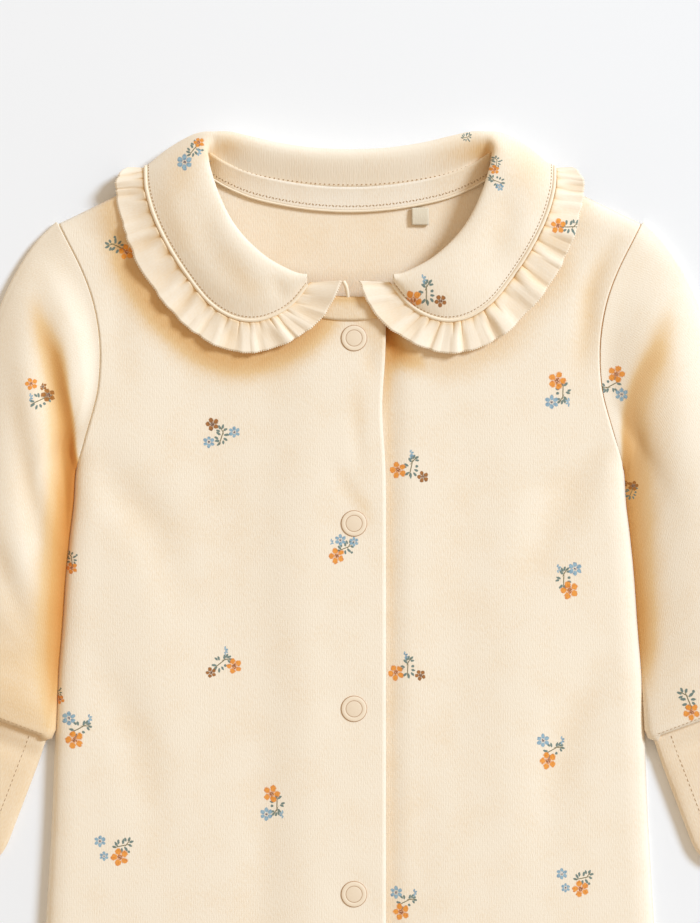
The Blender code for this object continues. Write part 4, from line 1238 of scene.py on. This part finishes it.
def sleeve_plan(t, share, inner, outer, side):
    """A sleeve's places in plan: its end follows the armhole, and its rows straighten from there."""
    straight = inner[:, None] + share[None, :, None] * (outer - inner)[:, None]
    y = armhole_y(share)
    clear = SEAM_GAP + (EDGE_CLEAR - SEAM_GAP) * (1.0 - ease(share / 0.06))
    bow = places(side * (half_width(y) + clear), y) - (inner[0] + share[:, None] * (outer[0] - inner[0]))
    reach = 0.06 + 0.54 * ease(share / 0.5)
    return straight + (1.0 - ease(t[:, None] / reach[None, :]))[..., None] * bow


def sleeve_tops(t, share, x, y, creases, side_name):
    """Middle of a sleeve's top wall: round, creased, level with the front at the armhole."""
    lean, _, waved, loft_lost, follows = SLEEVE_SIDES[side_name]
    crest = sleeve_crest(t) - lean * ease(t / 0.45) * ease((1.0 - t) / 0.2)
    skew = np.where(share > 0.0, share, 1e-9)[None, :] ** (np.log(0.5) / np.log(crest))[:, None]
    soft = crease(x, y, SLEEVE_SOFT) * arch(share)[None, :] * ease((1.0 - t) / 0.05)[:, None] * waved
    ridge = ARMHOLE_RIDGE * bell((t * SLEEVE_LONG - 1.1) / 0.9)[:, None] * arch(share)[None, :]
    loft = sleeve_loft(t) * (1.0 - loft_lost * ease((1.0 - t) / 0.4))
    rise = loft[:, None] * arch(skew) - creases - (soft - ridge)
    edge = (FLOOR_MID + sleeve_edge_gap(t))[:, None]
    seam_y = armhole_y(share)
    seam = np.maximum(front_height(half_width(seam_y), seam_y)[None, :] - edge, 0.0)
    blend = ease(1.0 - t / follows)[:, None]
    rise = rise * (1.0 - blend) + seam * blend
    rounding = SLEEVE_ROUND * arch(share, 0.5)[None, :] * (1.0 - blend) * (1.0 - cuff_share(t))[:, None]
    return edge + (rise + np.sqrt(rise * rise + rounding * rounding)) / 2


def folded_ring(plan, tops, bottoms, stand_in, stand_out):
    """Closed sections of a flattened tube, with rounded folds at both its edges."""
    angles = np.linspace(0.5 * math.pi, -0.5 * math.pi, FOLD_STEPS + 2)[1:-1]
    middle = (tops + bottoms) / 2
    half = (tops - bottoms) / 2

    def fold(column, stand, angle):
        at = plan[:, column] + stand * math.cos(angle)
        z = middle[:, column] + half[:, column] * math.sin(angle)
        return np.column_stack([at, z])

    first = [fold(0, stand_in, -angle) for angle in angles]
    last = [fold(-1, stand_out, angle) for angle in angles]
    top = np.concatenate([plan, tops[..., None]], -1)
    bottom = np.concatenate([plan, bottoms[..., None]], -1)[:, ::-1]
    rings = np.concatenate([np.stack(first, 1), top, np.stack(last, 1), bottom, first[0][:, None]], 1)
    sides = -np.ones(rings.shape[1])
    split = FOLD_STEPS // 2
    sides[split : split + FOLD_STEPS + plan.shape[1]] = 1.0
    return rings, sides


def turned(run):
    """The direction a quarter turn clockwise from each run, of length 1."""
    return places(run[:, 1], -run[:, 0]) / np.hypot(run[:, 0], run[:, 1])[:, None]


def ring_grain(rings, along):
    """The flat cloth's place round each ring: length round it, and distance along the tube."""
    round_it = np.array([lengths(ring) for ring in rings])
    return places(round_it, np.broadcast_to(along[:, None], round_it.shape))


def sleeve(side_name, side):
    name = "sleeve_" + side_name
    t = np.linspace(0.0, 1.0, SLEEVE_ROWS) ** 1.25
    share = shares(SLEEVE_COLUMNS, press=0.5)
    inner, outer = sleeve_edges(t, side)
    inner = round_corner(inner, outer)
    plan = sleeve_plan(t, share, inner, outer, side)
    x, y = np.abs(plan[..., 0]), plan[..., 1]
    creases = crease(x, y, SLEEVE_CREASES) * ease(t / 0.15)[:, None] * SLEEVE_SIDES[side_name][1]
    tops = sleeve_tops(t, share, x, y, creases, side_name)
    apart = (SLEEVE_PLY + (CUFF_GAP - SLEEVE_PLY) * cuff_share(t))[:, None]
    bottoms = np.maximum(FLOOR_MID, tops - apart)
    reach = (FOLD_ROUND * sleeve_edge_gap(t))[:, None]
    stand_in = side * reach * ease(t / 0.1)[:, None] * turned(np.gradient(inner, axis=0))
    stand_out = -side * reach * turned(np.gradient(outer, axis=0))
    rings, sides = folded_ring(plan, tops, bottoms, stand_in, stand_out)
    # Painted shade along the fold beside the body, low down the sleeve and slightly in its creases
    warm = fold_painted_shade(x, y, SLEEVE_PAINTED_SHADE[side_name])
    warm = warm + LOW_PAINTED_SHADE[side_name] * ease((LOW_PAINTED_SHADE_Y - y) / LOW_PAINTED_SHADE_FADE)
    top = slice(FOLD_STEPS, FOLD_STEPS + len(share))
    hollow = np.zeros(rings.shape[:2])
    hollow[:, top] = np.clip(np.maximum(warm, 0.05 * creases), 0.0, 1.0)
    hollow[:, :FOLD_STEPS] = hollow[:, top][:, :1]
    grain = ring_grain(rings, t * SLEEVE_LONG)
    made = cloth(name, rings, WALL, (PRINTED, INSIDE), grain=grain, hollow=hollow, sides=sides)
    hem = inset(rings[::-1, top].transpose(1, 0, 2), HEM)
    stitches(name + "_hem_stitches", hem + (0.0, 0.0, ON_WALL), HEM_STITCH, THREAD_AND_HOLE_SHADE)
    dressed(made, name, SLEEVE_CUT, area=0.58)


def pouch(name, start, along, across, sizes, rows, walls, warmth=0.0):
    """A flat tube with a closed, rounded end: a mitt or a foot. rows are its straight rows."""
    length, width, corner = sizes
    corner_from = length - END_ROUND - corner
    angle = np.linspace(0.0, math.pi / 2, POUCH_END_ROWS)
    straight = rows[rows < corner_from - 0.5]
    distance = np.concatenate([straight, corner_from + corner * np.sin(angle) ** END_SQUARE])
    narrowing = np.concatenate([np.ones(len(straight)), np.cos(angle) ** END_SQUARE])
    narrowing[-1] = 0.0
    share = shares(POUCH_COLUMNS, press=0.5)
    lateral = (2 * share - 1)[None, :] * width / 2 * narrowing[:, None]
    plan = start + distance[:, None, None] * along + lateral[..., None] * across
    low, high = walls(share[None, :], distance[:, None])
    low = np.broadcast_to(low, lateral.shape)
    edge_gap = (high - low)[:, :1]
    tops = low + edge_gap + (high - low - edge_gap) * np.sqrt(narrowing)[:, None]
    stand = FOLD_ROUND * edge_gap
    outward = np.sign(along[1] * across[0] - along[0] * across[1])
    stand_in = -outward * stand * turned(np.gradient(plan[:, 0], axis=0))
    stand_out = outward * stand * turned(np.gradient(plan[:, -1], axis=0))
    stand_in[-1] = stand_out[-1] = stand[-1] * along
    rings, sides = folded_ring(plan, tops, low, stand_in, stand_out)
    grain = ring_grain(rings, distance)
    return cloth(name, rings, WALL, (PRINTED, INSIDE), grain=grain, hollow=warmth, sides=sides)


def mitt_walls(share, distance):
    """Middles of a mitt's walls: inside the sleeve's end at first, then down on the floor."""
    crest = SLEEVE_LOFT[-1][1] * arch(share)
    inside = FLOOR_MID + crest + PLY_STEP + MITT_SLACK
    low = inside + (FLOOR_MID - inside) * ease((distance - 1.0) / 9.0)
    settle = 1.0 - 0.55 * ease(distance / MITT_LENGTH)
    apart = CUFF_GAP - 2 * PLY_STEP - 2 * MITT_SLACK
    full = FOLD_GAP + MITT_LOFT * arch(share, 0.6) * settle
    return low, low + apart + (full - apart) * ease((distance - 1.0) / 14.0)


def mitt(side_name, side):
    name = "mitt_" + side_name
    inner, outer = (edge[0] for edge in sleeve_edges(np.array([1.0]), side))
    across = (outer - inner) / np.hypot(*(outer - inner))
    along = side * np.array([across[1], -across[0]])
    middle = (inner + outer) / 2
    width = np.hypot(*(outer - inner)) - 2 * MITT_INSET
    rows = np.linspace(*MITT_ROWS)
    sizes = (MITT_LENGTH, width, MITT_CORNER)
    # The mitt's colour takes an even painted shade
    made = pouch(name, middle, along, across, sizes, rows, mitt_walls, MITT_PAINTED_SHADE[side_name])
    run = np.linspace(*MITT_SEAM_ENDS, 40)

    def beside_edge(in_from_edge, up, lift):
        """A line along the mitt, at a share of the way up between its walls."""
        low, high = mitt_walls(np.clip(in_from_edge / width, 0.0, 1.0), run)
        plan = middle + run[:, None] * along + (in_from_edge - width / 2) * across
        return np.column_stack([plan, low + up * (high - low) + lift])

    stitches(name + "_stitches", beside_edge(MITT_STITCH_INSET, 1.0, ON_WALL), MITT_STITCH, THREAD_AND_HOLE_SHADE)
    roll(name + "_seam", beside_edge(-MITT_SEAM_OUT, 0.45, 0.0), MITT_ROLL, PIPING)
    dressed(made, name, MITT_CUT, area=0.92)


def foot_walls(share, distance):
    """Middles of a foot's walls: its sole on the floor, its top slightly domed."""
    dome = FOOT_LOFT * arch(share, 0.6) * (1.0 - 0.5 * ease((distance - 34.0) / 26.0))
    return FLOOR_MID, FLOOR_MID + FOLD_GAP + dome


def foot(side_name, side):
    name = "foot_" + side_name
    leg_in = leg_edge(ANKLE_Y) + FOLD_ROUND
    leg_out = half_width(ANKLE_Y) - FOLD_ROUND
    start = np.array([side * (leg_in + leg_out) / 2, ANKLE_Y - SEAM_GAP])
    along = np.array([side * FOOT_LEAN, -1.0]) / math.hypot(FOOT_LEAN, 1.0)
    sizes = (FOOT_LENGTH, leg_out - leg_in, FOOT_CORNER)
    rows = np.linspace(*FOOT_ROWS)
    made = pouch(name, start, along, np.array([1.0, 0.0]), sizes, rows, foot_walls)
    dressed(made, name, FOOT_CUT, area=0.9)


def collar_section(row):
    """Five points across the collar at one of its sections: base, roll, brow, fall and edge."""
    base, roll_at, edge, turn = np.array(row[0:2]), np.array(row[2:4]), np.array(row[4:6]), row[6]
    if turn == 0:
        base_z = front_height(*base) + STAND_CLEAR
    else:
        base_z = back_height(*base) + STAND_CLEAR + 0.2 + 2.4 * (1.0 - turn)
    roll_z = COLLAR_TOP - SHOULDER_DROP
    if turn < LIES_UNTIL:
        roll_z = max(base_z + STAND_LEAST, COLLAR_TOP)
        fall = lying_fall(roll_at, edge, roll_z, turn)
    elif turn < WRAPS_UNTIL:
        fall = wrapping_fall(roll_at, edge, turn)
    else:
        fall = under_fall(roll_at, edge)
    return ((*base, base_z), (*roll_at, roll_z), *fall)


def lying_fall(roll_at, edge, roll_z, turn):
    """The fall where it lies on the front, a little proud of it: brow, fall and edge."""
    edge_z = front_height(*edge) + COLLAR_CLEAR
    brow = roll_at + 0.2 * (edge - roll_at)
    fall = roll_at + 0.62 * (edge - roll_at)
    fall_z = (roll_z + edge_z) / 2 + 1.2 - 2.0 * turn
    return (*brow, roll_z + COLLAR_BROW), (*fall, fall_z), (*edge, edge_z)


def wrapping_fall(roll_at, edge, turn):
    """The fall where it stands on edge, outside the shoulder seam: brow, fall and edge."""
    lower = (turn - 0.5) / 0.3
    brow = roll_at + 0.18 * (edge - roll_at) + (1.6, 3.4)
    fall = roll_at + 0.58 * (edge - roll_at) + (2.0, 2.6)
    return (*brow, 8.4 - 2.0 * lower), (*fall, 5.6 - 3.0 * lower), (*edge, 4.4 - 2.6 * lower)


def under_fall(roll_at, edge):
    """The fall behind the neck, turned down and under the back onto the floor."""
    aside = edge[0] - roll_at[0]
    outmost = roll_at + (0.06 * aside, 2.4)
    under = roll_at + (0.22 * aside, -1.2)
    return (*outmost, 5.6), (*under, FLOOR_MID + 0.3), (*edge, FLOOR_MID)


def collar_points():
    """The collar's surface with its slight waves, tip to tip, and how deep those are."""
    lines = np.array([through(collar_section(row), COLLAR_COLUMN_STEPS) for row in COLLAR_SECTIONS])
    count = lines.shape[1]
    half = through(lines.reshape(len(lines), -1), COLLAR_STEPS).reshape(-1, count, 3)
    half[-1, :, 0] = 0.0
    points = np.concatenate([half * (-1.0, 1.0, 1.0), half[-2::-1]])
    lying = ease(np.linspace(0.0, 1.0, count) / 0.5)[None, :]
    soft = crease(points[..., 0], points[..., 1], COLLAR_SOFT) * lying * (points[..., 2] > 8.0)
    points[..., 2] = np.maximum(points[..., 2] - soft, FLOOR_MID)
    return points, soft


def collar():
    points, soft = collar_points()
    x, y, z = points.transpose(2, 0, 1)
    # Painted shade in the collar's soft waves and along its shade table, where it lies high
    hollow = np.maximum(0.06 * np.maximum(soft, 0.0), crease(x, y, COLLAR_PAINTED_SHADE) * (z > 6.5))
    made = cloth("collar", points, CLOTH, (PRINTED,), grain=places(x, y - 1.2 * z), hollow=hollow, flip=True)
    dressed(made, "collar", COLLAR_CUT, area=0.5)


def lengths(path):
    """The length along a path to each of its points."""
    return np.concatenate([[0.0], np.cumsum(np.linalg.norm(np.diff(path, axis=0), axis=1))])


def at_lengths(path, distances):
    """Places so far along a path."""
    return places(*(np.interp(distances, lengths(path), column) for column in path.T))


def inset(lines, distance):
    """A point on each line, so far along it from its first end."""
    return np.array([at_lengths(line, distance) for line in lines])


def above(lines, distance, lift):
    """Places so far along each line and lifted off the cloth, square to it."""
    spot = inset(lines, distance)
    run = inset(lines, distance + 0.4) - inset(lines, distance - 0.4)
    square = np.cross(run, np.gradient(spot, axis=0))
    square /= np.linalg.norm(square, axis=1)[:, None]
    square *= np.where(square[:, 2:] < 0.0, -1.0, 1.0)
    return spot + lift * square


def collar_seam():
    """The piped edge of the collar and the row of stitches inside it."""
    points, _ = collar_points()
    for name, lines in (("right", points), ("left", points[::-1])):
        lines = lines[: COLLAR_STEPS * PIPED_SECTIONS + 1, ::-1]
        raised = 0.7 * bell(np.arange(len(lines)) / 14.0)[:, None]
        roll("collar_piping_" + name, above(lines, PIPING_INSET, 0.55 + raised), COLLAR_ROLL, PIPING)
        dots = above(lines, COLLAR_STITCH_INSET, ON_CLOTH)
        stitches("collar_stitches_" + name, dots, COLLAR_STITCH, THREAD_AND_HOLE_SHADE)


def armhole_seams():
    """Rolls of seam allowance in the gaps between each sleeve and its front: on the wearer's left tan,
    painted shade in the seam's groove, and on the right in the pale piping cloth.
    """
    y = armhole_y(np.linspace(0.0, 1.0, 80))
    x = half_width(y) + SEAM_GAP / 2
    z = front_height(x - 0.3, y) - 0.15
    for name, side, finish in (("right", -1.0, PIPING), ("left", 1.0, SEAM_PAINTED_SHADE)):
        roll("armhole_seam_" + name, places(side * x, y, z), ARMHOLE_ROLL, finish)


def ruffle_edges():
    """The ruffle's seam and its outer edge at each section: x, y, z and the swell of its waves."""
    seam = []
    outer = []
    for row, (x, y, lift, swell) in zip(COLLAR_SECTIONS, RUFFLE_SECTIONS):
        turn = row[6]
        at_x, at_y, at_z = collar_section(row)[-1]
        reach = np.array([x - at_x, y - at_y])
        clear = RUFFLE_GAP if seam else RUFFLE_TIP_GAP
        start = (at_x, at_y) + clear * reach / np.hypot(*reach)
        if turn > WRAPS_UNTIL:
            seam_z = outer_z = TRIM / 2
        elif turn > LIES_UNTIL:
            seam_z = at_z
            outer_z = seam_z - 0.4
        else:
            seam_z = max(at_z, front_height(at_x, at_y) + 0.6 * lift)
            outer_z = front_height(x, y) + lift
        seam.append((*start, seam_z, swell))
        outer.append((x, y, outer_z, swell))
    return through(seam, 24), through(outer, 24)


def ruffle_half(half):
    """One half of the ruffle from its front tip back: its points, the painted shade on each, its cloth."""
    seam, outer = ruffle_edges()
    last = len(COLLAR_SECTIONS) - 1
    shoulder = sum(1 for row in COLLAR_SECTIONS if row[6] < 0.6) - 1
    count = np.arange(GATHERS * GATHER_STEPS + 1) / GATHER_STEPS
    place = np.interp(count, (0, FRONT_GATHERS, GATHERS), (0, shoulder, last))
    index = np.linspace(0, last, len(seam))
    start, end = (places(*(np.interp(place, index, column) for column in edge.T)) for edge in (seam, outer))
    share = shares(RUFFLE_COLUMNS)[None, :]
    random = np.random.default_rng(RUFFLE_SEED + half)
    knots = np.arange(2 * GATHERS + 1) / 2
    tall = np.interp(count, knots, random.uniform(0.10, 1.0, len(knots)) ** 1.7)
    for at, size in RUFFLE_FOLDS[half]:
        tall = np.maximum(tall, size * bell((count - at) / 0.7))
    tall = tall[:, None]
    lean = np.interp(count, knots, random.uniform(-0.22, 0.22, len(knots)))
    wander = np.interp(count, knots, random.uniform(-0.3, 0.3, len(knots)))[:, None]
    phase = (count + lean)[:, None] + wander * share
    near = np.abs(np.sin(np.pi * phase)) ** 0.6
    far = 0.5 - 0.5 * np.cos(np.pi * (phase + wander))
    open_share = ease(share / 0.65)
    hump = near * (1.0 - open_share) + far * open_share
    tight = np.abs(np.sin(2 * np.pi * phase + 0.6)) ** 0.7
    flat = start[:, None, :3] + share[..., None] * (end - start)[:, None, :3]
    sag = np.where(place < shoulder, RUFFLE_SAG, 0.0)[:, None] * np.sin(np.pi * share)
    low = np.maximum(flat[..., 2] - sag, TRIM / 2)
    swell = end[:, 3:4]
    rise = 0.34 * near * (1.0 - open_share) + 0.56 * far * open_share
    lift = swell * rise * (0.35 + 0.65 * tall) + 0.08 * swell * tight * np.exp(-share / 0.16)
    run = (end - start)[:, :2] / np.hypot(*(end - start)[:, :2].T)[:, None]
    scallop = (0.45 * (hump[:, -1:] - 0.6) + 0.25 * (tall - 0.5)) * share**2
    plan = flat[..., :2] + run[:, None] * scallop[..., None]
    points = places(plan[..., 0], plan[..., 1], low + lift)
    # Painted shade in the valleys between gathers, and along the seam
    deep = (1.0 - hump) * (0.10 + 0.46 * np.exp(-share / 0.35)) * (0.4 + 0.6 * tall)
    deep = np.clip(deep + 0.30 * np.exp(-share / 0.07), 0.0, 1.0)
    grain = places(*np.broadcast_arrays((count * GATHER_CLOTH)[:, None], share * RUFFLE_CLOTH))
    return points, deep, grain


def ruffle():
    right, left = ruffle_half(0), ruffle_half(1)
    right[0][..., 0] *= -1
    points, hollow, grain = (np.concatenate([one, other[-2::-1]]) for one, other in zip(right, left))
    points[GATHERS * GATHER_STEPS, :, 0] = 0.0
    made = cloth("ruffle", points, TRIM_WALL, (PRINTED_RUFFLE,), grain=grain, hollow=hollow, flip=True)
    stitches("ruffle_edge_stitches", points[:, -1] + (0.0, 0.0, 0.15), EDGE_STITCH, EDGE_THREAD)
    dressed(made, "ruffle", RUFFLE_CUT)


def strip(x, y, height):
    """Places of a flat strip of trim that lies on the panel of that height."""
    x, y = np.broadcast_arrays(x, y)
    return places(x, y, height(x, y) + CLOTH / 2 + SEAM_GAP + TRIM / 2)


def back_neck_curve():
    """Places along the back's neck edge, from one shoulder to the other."""
    half = [(x, y) for x, y, _ in BACK_NECK_ROWS if x > 0.0]
    curve = through([(-x, y) for x, y in half] + [(0.0, BACK_NECK_Y)] + half[::-1], 24)
    return curve[np.linspace(0, len(curve) - 1, TAPE_COLUMNS).round().astype(int)]


def neck_tape():
    x, y = back_neck_curve().T
    down = np.linspace(1.0, 0.0, TAPE_ROWS)[:, None]
    points = strip(x * TAPE_SHARE, y - (TAPE_TOP - TAPE_UP + (TAPE_WIDTH + TAPE_UP) * down), back_height)
    stand_up = np.interp(np.abs(points[..., 0]), (46.0, 50.0, 53.0, 56.0), (0.0, 0.5, 1.4, 2.2))
    puff = 0.30 * np.sin(np.pi * down)
    points[..., 2] += puff + (STAND_CLEAR + 0.3 + stand_up) * (1.0 - down) ** 2
    # Painted shade along the tape, growing towards both ends
    hollow = 0.02 + 0.24 * np.abs(np.linspace(-1.0, 1.0, len(x))) ** 3
    made = cloth("neck_tape", points, TRIM_WALL, (TAPE,), hollow=hollow)
    roll("tape_lower_edge", points[0] + (0.0, -0.1, 0.05), TAPE_ROLL, PIPING)
    lower = points[2] + (0.0, 0.0, TRIM_WALL / 2 + 0.05)
    stitches("tape_lower_stitches", lower, TAPE_STITCH, THREAD_AND_HOLE_SHADE, zigzag=0.7)
    ends = COLLAR_STEPS * (PIPED_SECTIONS + 1)
    dots = above(collar_points()[0][ends:-ends], STAND_STITCH_INSET, ON_CLOTH)
    stitches("stand_stitches", dots, STAND_STITCH, THREAD_AND_HOLE_SHADE)
    dressed(made, "neck_tape", TAPE_CUT)


def size_tab():
    top = BACK_NECK_Y - TAPE_TOP - TAPE_WIDTH + 1.2
    share = np.linspace(0.0, 1.0, TAB_ROWS)
    points = strip(TAB_X + TAB_SIZE * (share - 0.5), top + TAB_SIZE * (share[:, None] - 1.0), back_height)
    points[..., 2] += 0.35 * np.sin(np.pi * share)[:, None]
    made = cloth("size_tab", points, TRIM_WALL, (TAB,))
    dressed(made, "size_tab", TAB_CUT, area=0.62)


def neck_band():
    x = np.linspace(-BAND_REACH, PLACKET_LAP - 0.8, BAND_COLUMNS)
    down = np.linspace(1.0, 0.0, BAND_ROWS)[:, None]
    points = strip(x, BAND_TOP + BAND_CURVE * x * x - BAND_WIDTH * down, over_height)
    points[..., 2] -= 0.95 * down**2
    # Painted shade all along the band, more at both ends and along its top edge
    ends = 0.26 * bell((x + 15.0) / 4.5) + 0.26 * bell((x - 12.5) / 4.0)
    hollow = np.clip(0.16 + ends + 0.25 * (1.0 - down) ** 4, 0.0, 1.0)
    made = cloth("neck_band", points, TRIM_WALL, (TAPE,), hollow=hollow)
    x, y, lift = np.array(BAND_END).T
    roll("band_end", through(places(x, y, over_height(x, y) + lift), 6), BAND_ROLL, PIPING)
    dressed(made, "neck_band", BAND_CUT)


def popper(number):
    """A ring popper: a turned cap with thin rings at its rim and round its middle."""
    name = f"popper_{number + 1}"
    profile = (
        # radius, height over the cloth
        (0.0, 0.46),
        (POPPER_INNER - 0.5, 0.48),
        (POPPER_INNER - 0.2, 0.44),
        (POPPER_INNER, 0.36),
        (POPPER_INNER + 0.2, 0.44),
        (POPPER_INNER + 0.6, 0.50),
        (POPPER_RADIUS - 0.7, 0.48),
        (POPPER_RADIUS - 0.35, 0.38),
        (POPPER_RADIUS - 0.1, 0.24),
        (POPPER_RADIUS, 0.1),
        (POPPER_RADIUS, 0.0),
        (0.0, 0.0),
    )
    y = POPPER_FIRST_Y - number * POPPER_PITCH
    base = float(over_height(POPPER_X, y)) + ON_WALL - POPPER_DIMPLE
    mesh = bmesh.new()
    verts = [mesh.verts.new((r, 0.0, z)) for r, z in profile]
    edges = [mesh.edges.new(pair) for pair in zip(verts, verts[1:])]
    bmesh.ops.spin(
        mesh,
        geom=verts + edges,
        cent=(0, 0, 0),
        axis=(0, 0, 1),
        angle=2 * math.pi,
        steps=POPPER_STEPS,
        use_merge=True,
    )
    bmesh.ops.remove_doubles(mesh, verts=mesh.verts, dist=0.001)
    bmesh.ops.recalc_face_normals(mesh, faces=mesh.faces)
    ring = mesh.loops.layers.uv.new("ring")
    for face in mesh.faces:
        for loop in face.loops:
            loop[ring].uv = loop.vert.co.xy
    bmesh.ops.translate(mesh, verts=mesh.verts, vec=(POPPER_X, y, base))
    bmesh.ops.scale(mesh, verts=mesh.verts, vec=(METRES, METRES, METRES))
    data = meshed(name + "_cap", mesh)
    data.shade_smooth()
    made = added(name + "_cap", data, POPPER)
    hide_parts(name)
    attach(made, "root")


def stitches(name, path, stitch_size, finish, zigzag=0.0):
    """A row of small stitches along a path, joined in one mesh. zigzag turns them to and fro."""
    pitch, long, wide = stitch_size
    at = (np.arange(int(lengths(path)[-1] / pitch)) + 0.5) * pitch
    spots = at_lengths(path, at)
    ahead = at_lengths(path, at + 0.3)
    bead = bmesh.new()
    bmesh.ops.create_uvsphere(bead, u_segments=6, v_segments=4, radius=1.0)
    shape = meshed(name + "_bead", bead)
    mesh = bmesh.new()
    for step, (spot, along) in enumerate(zip(spots, ahead - spots)):
        along = along / np.linalg.norm(along)
        across = np.cross((0.0, 0.0, 1.0), along)
        across /= np.linalg.norm(across)
        if zigzag:
            way = 1.0 if step % 2 else -1.0
            along = along * math.cos(zigzag) + way * across * math.sin(zigzag)
            across = np.cross((0.0, 0.0, 1.0), along)
        up = np.cross(along, across)
        place = np.eye(4)
        place[:3] = places(along * long, across * wide, up * wide * 0.6, spot) * METRES
        stitch = shape.copy()
        stitch.transform(Matrix(place.tolist()))
        mesh.from_mesh(stitch)
        bpy.data.meshes.remove(stitch)
    bpy.data.meshes.remove(shape)
    data = meshed(name, mesh)
    data.shade_smooth()
    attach(added(name, data, finish), "root")


def roll(name, path, radius, finish):
    """A thin round of cloth along a path."""
    curve = bpy.data.curves.new(name, "CURVE")
    curve.dimensions = "3D"
    curve.bevel_depth = radius * METRES
    curve.bevel_resolution = 2
    curve.use_fill_caps = True
    spline = curve.splines.new("POLY")
    spline.points.add(len(path) - 1)
    for point, place in zip(spline.points, path):
        point.co = (*(place * METRES), 1.0)
    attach(added(name, curve, finish), "root")


def floor():
    mesh = bmesh.new()
    bmesh.ops.create_grid(mesh, x_segments=1, y_segments=1, size=FLOOR_SIZE)
    finish = Finish("pale floor", roughness=0.9, specular=0.1)
    finish.set("Base Color", FLOOR_WHITE)
    added("floor", meshed("floor", mesh), finish)


def camera():
    """The camera looks straight down on the middle of what the photo shows."""
    data = bpy.data.cameras.new("camera")
    data.lens = LENS
    data.sensor_width = 36.0
    data.clip_start = 0.05
    made = added("camera", data)
    made.location = CAMERA_PLACE
    bpy.context.scene.camera = made


def key_light():
    """A wide disc of cool light, high up beyond the wearer's left shoulder."""
    data = bpy.data.lights.new("key", "AREA")
    data.shape = "DISK"
    data.size = KEY_SIZE
    data.energy = KEY_POWER
    data.color = KEY_COLOUR
    made = added("key", data)
    made.location = KEY_PLACE
    x, y, z = np.subtract(KEY_AIM, KEY_PLACE)
    made.rotation_euler = (math.atan2(math.hypot(x, y), -z), 0.0, math.atan2(y, x) - math.pi / 2)


def sky():
    """A pale sky, whiter near the horizon and warmer overhead."""
    world = bpy.data.worlds.new("studio")
    nodes = Nodes(world)
    height = nodes.split(nodes.node("ShaderNodeTexCoord", {}).outputs["Generated"])[2]
    shine = nodes.tree.nodes["Background"].inputs
    nodes.feed(shine["Color"], nodes.ramp(height, ((0.20, HORIZON), (0.42, OVERHEAD))))
    nodes.feed(shine["Strength"], SKY_STRENGTH)
    bpy.context.scene.world = world
    view = bpy.context.scene.view_settings
    view.view_transform = "Standard"
    view.look = "None"


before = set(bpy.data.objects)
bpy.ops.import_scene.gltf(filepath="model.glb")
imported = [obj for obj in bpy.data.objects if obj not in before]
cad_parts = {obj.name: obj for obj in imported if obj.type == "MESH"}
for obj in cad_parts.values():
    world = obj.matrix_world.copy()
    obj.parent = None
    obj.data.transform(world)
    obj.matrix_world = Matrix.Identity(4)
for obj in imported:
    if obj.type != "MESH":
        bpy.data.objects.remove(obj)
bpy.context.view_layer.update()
camera()
floor()
sky()
key_light()

PRINTED = interlock("printed interlock", is_printed=True)
PRINTED_RUFFLE = interlock("printed frill", RUFFLE_CREAM, RUFFLE_SHADE_AND_TONE, 0.12, is_printed=True)
INSIDE = interlock("inside of the interlock")
TAPE = interlock("neck tape cloth", TAPE_CREAM)
TAB = interlock("woven tab", TAB_LIGHT, TAB_SHADE_AND_TONE)
PIPING = thread("piping cloth", PIPING_CREAM, 0.93)
# A tan seam allowance: painted shade in the armhole seam's groove
SEAM_PAINTED_SHADE = thread("seam allowance", SEAM_PAINTED_SHADE_TAN, 0.85)
# Tan stitches: the thread, with painted shade of the needle holes round it
THREAD_AND_HOLE_SHADE = thread("tan thread", STITCH_AND_HOLE_SHADE_TAN)
EDGE_THREAD = thread("frill edge thread", EDGE_CREAM, 0.92)
POPPER = popper_enamel()

back()
front("front_right", -1, PLACKET_LAP, over_height)
front("front_left", 1, PLACKET_UNDER, under_height)
for side_name, side in (("right", -1), ("left", 1)):
    sleeve(side_name, side)
    mitt(side_name, side)
    foot(side_name, side)
collar()
collar_seam()
armhole_seams()
ruffle()
neck_tape()
neck_band()
size_tab()
for number in range(POPPERS):
    popper(number)
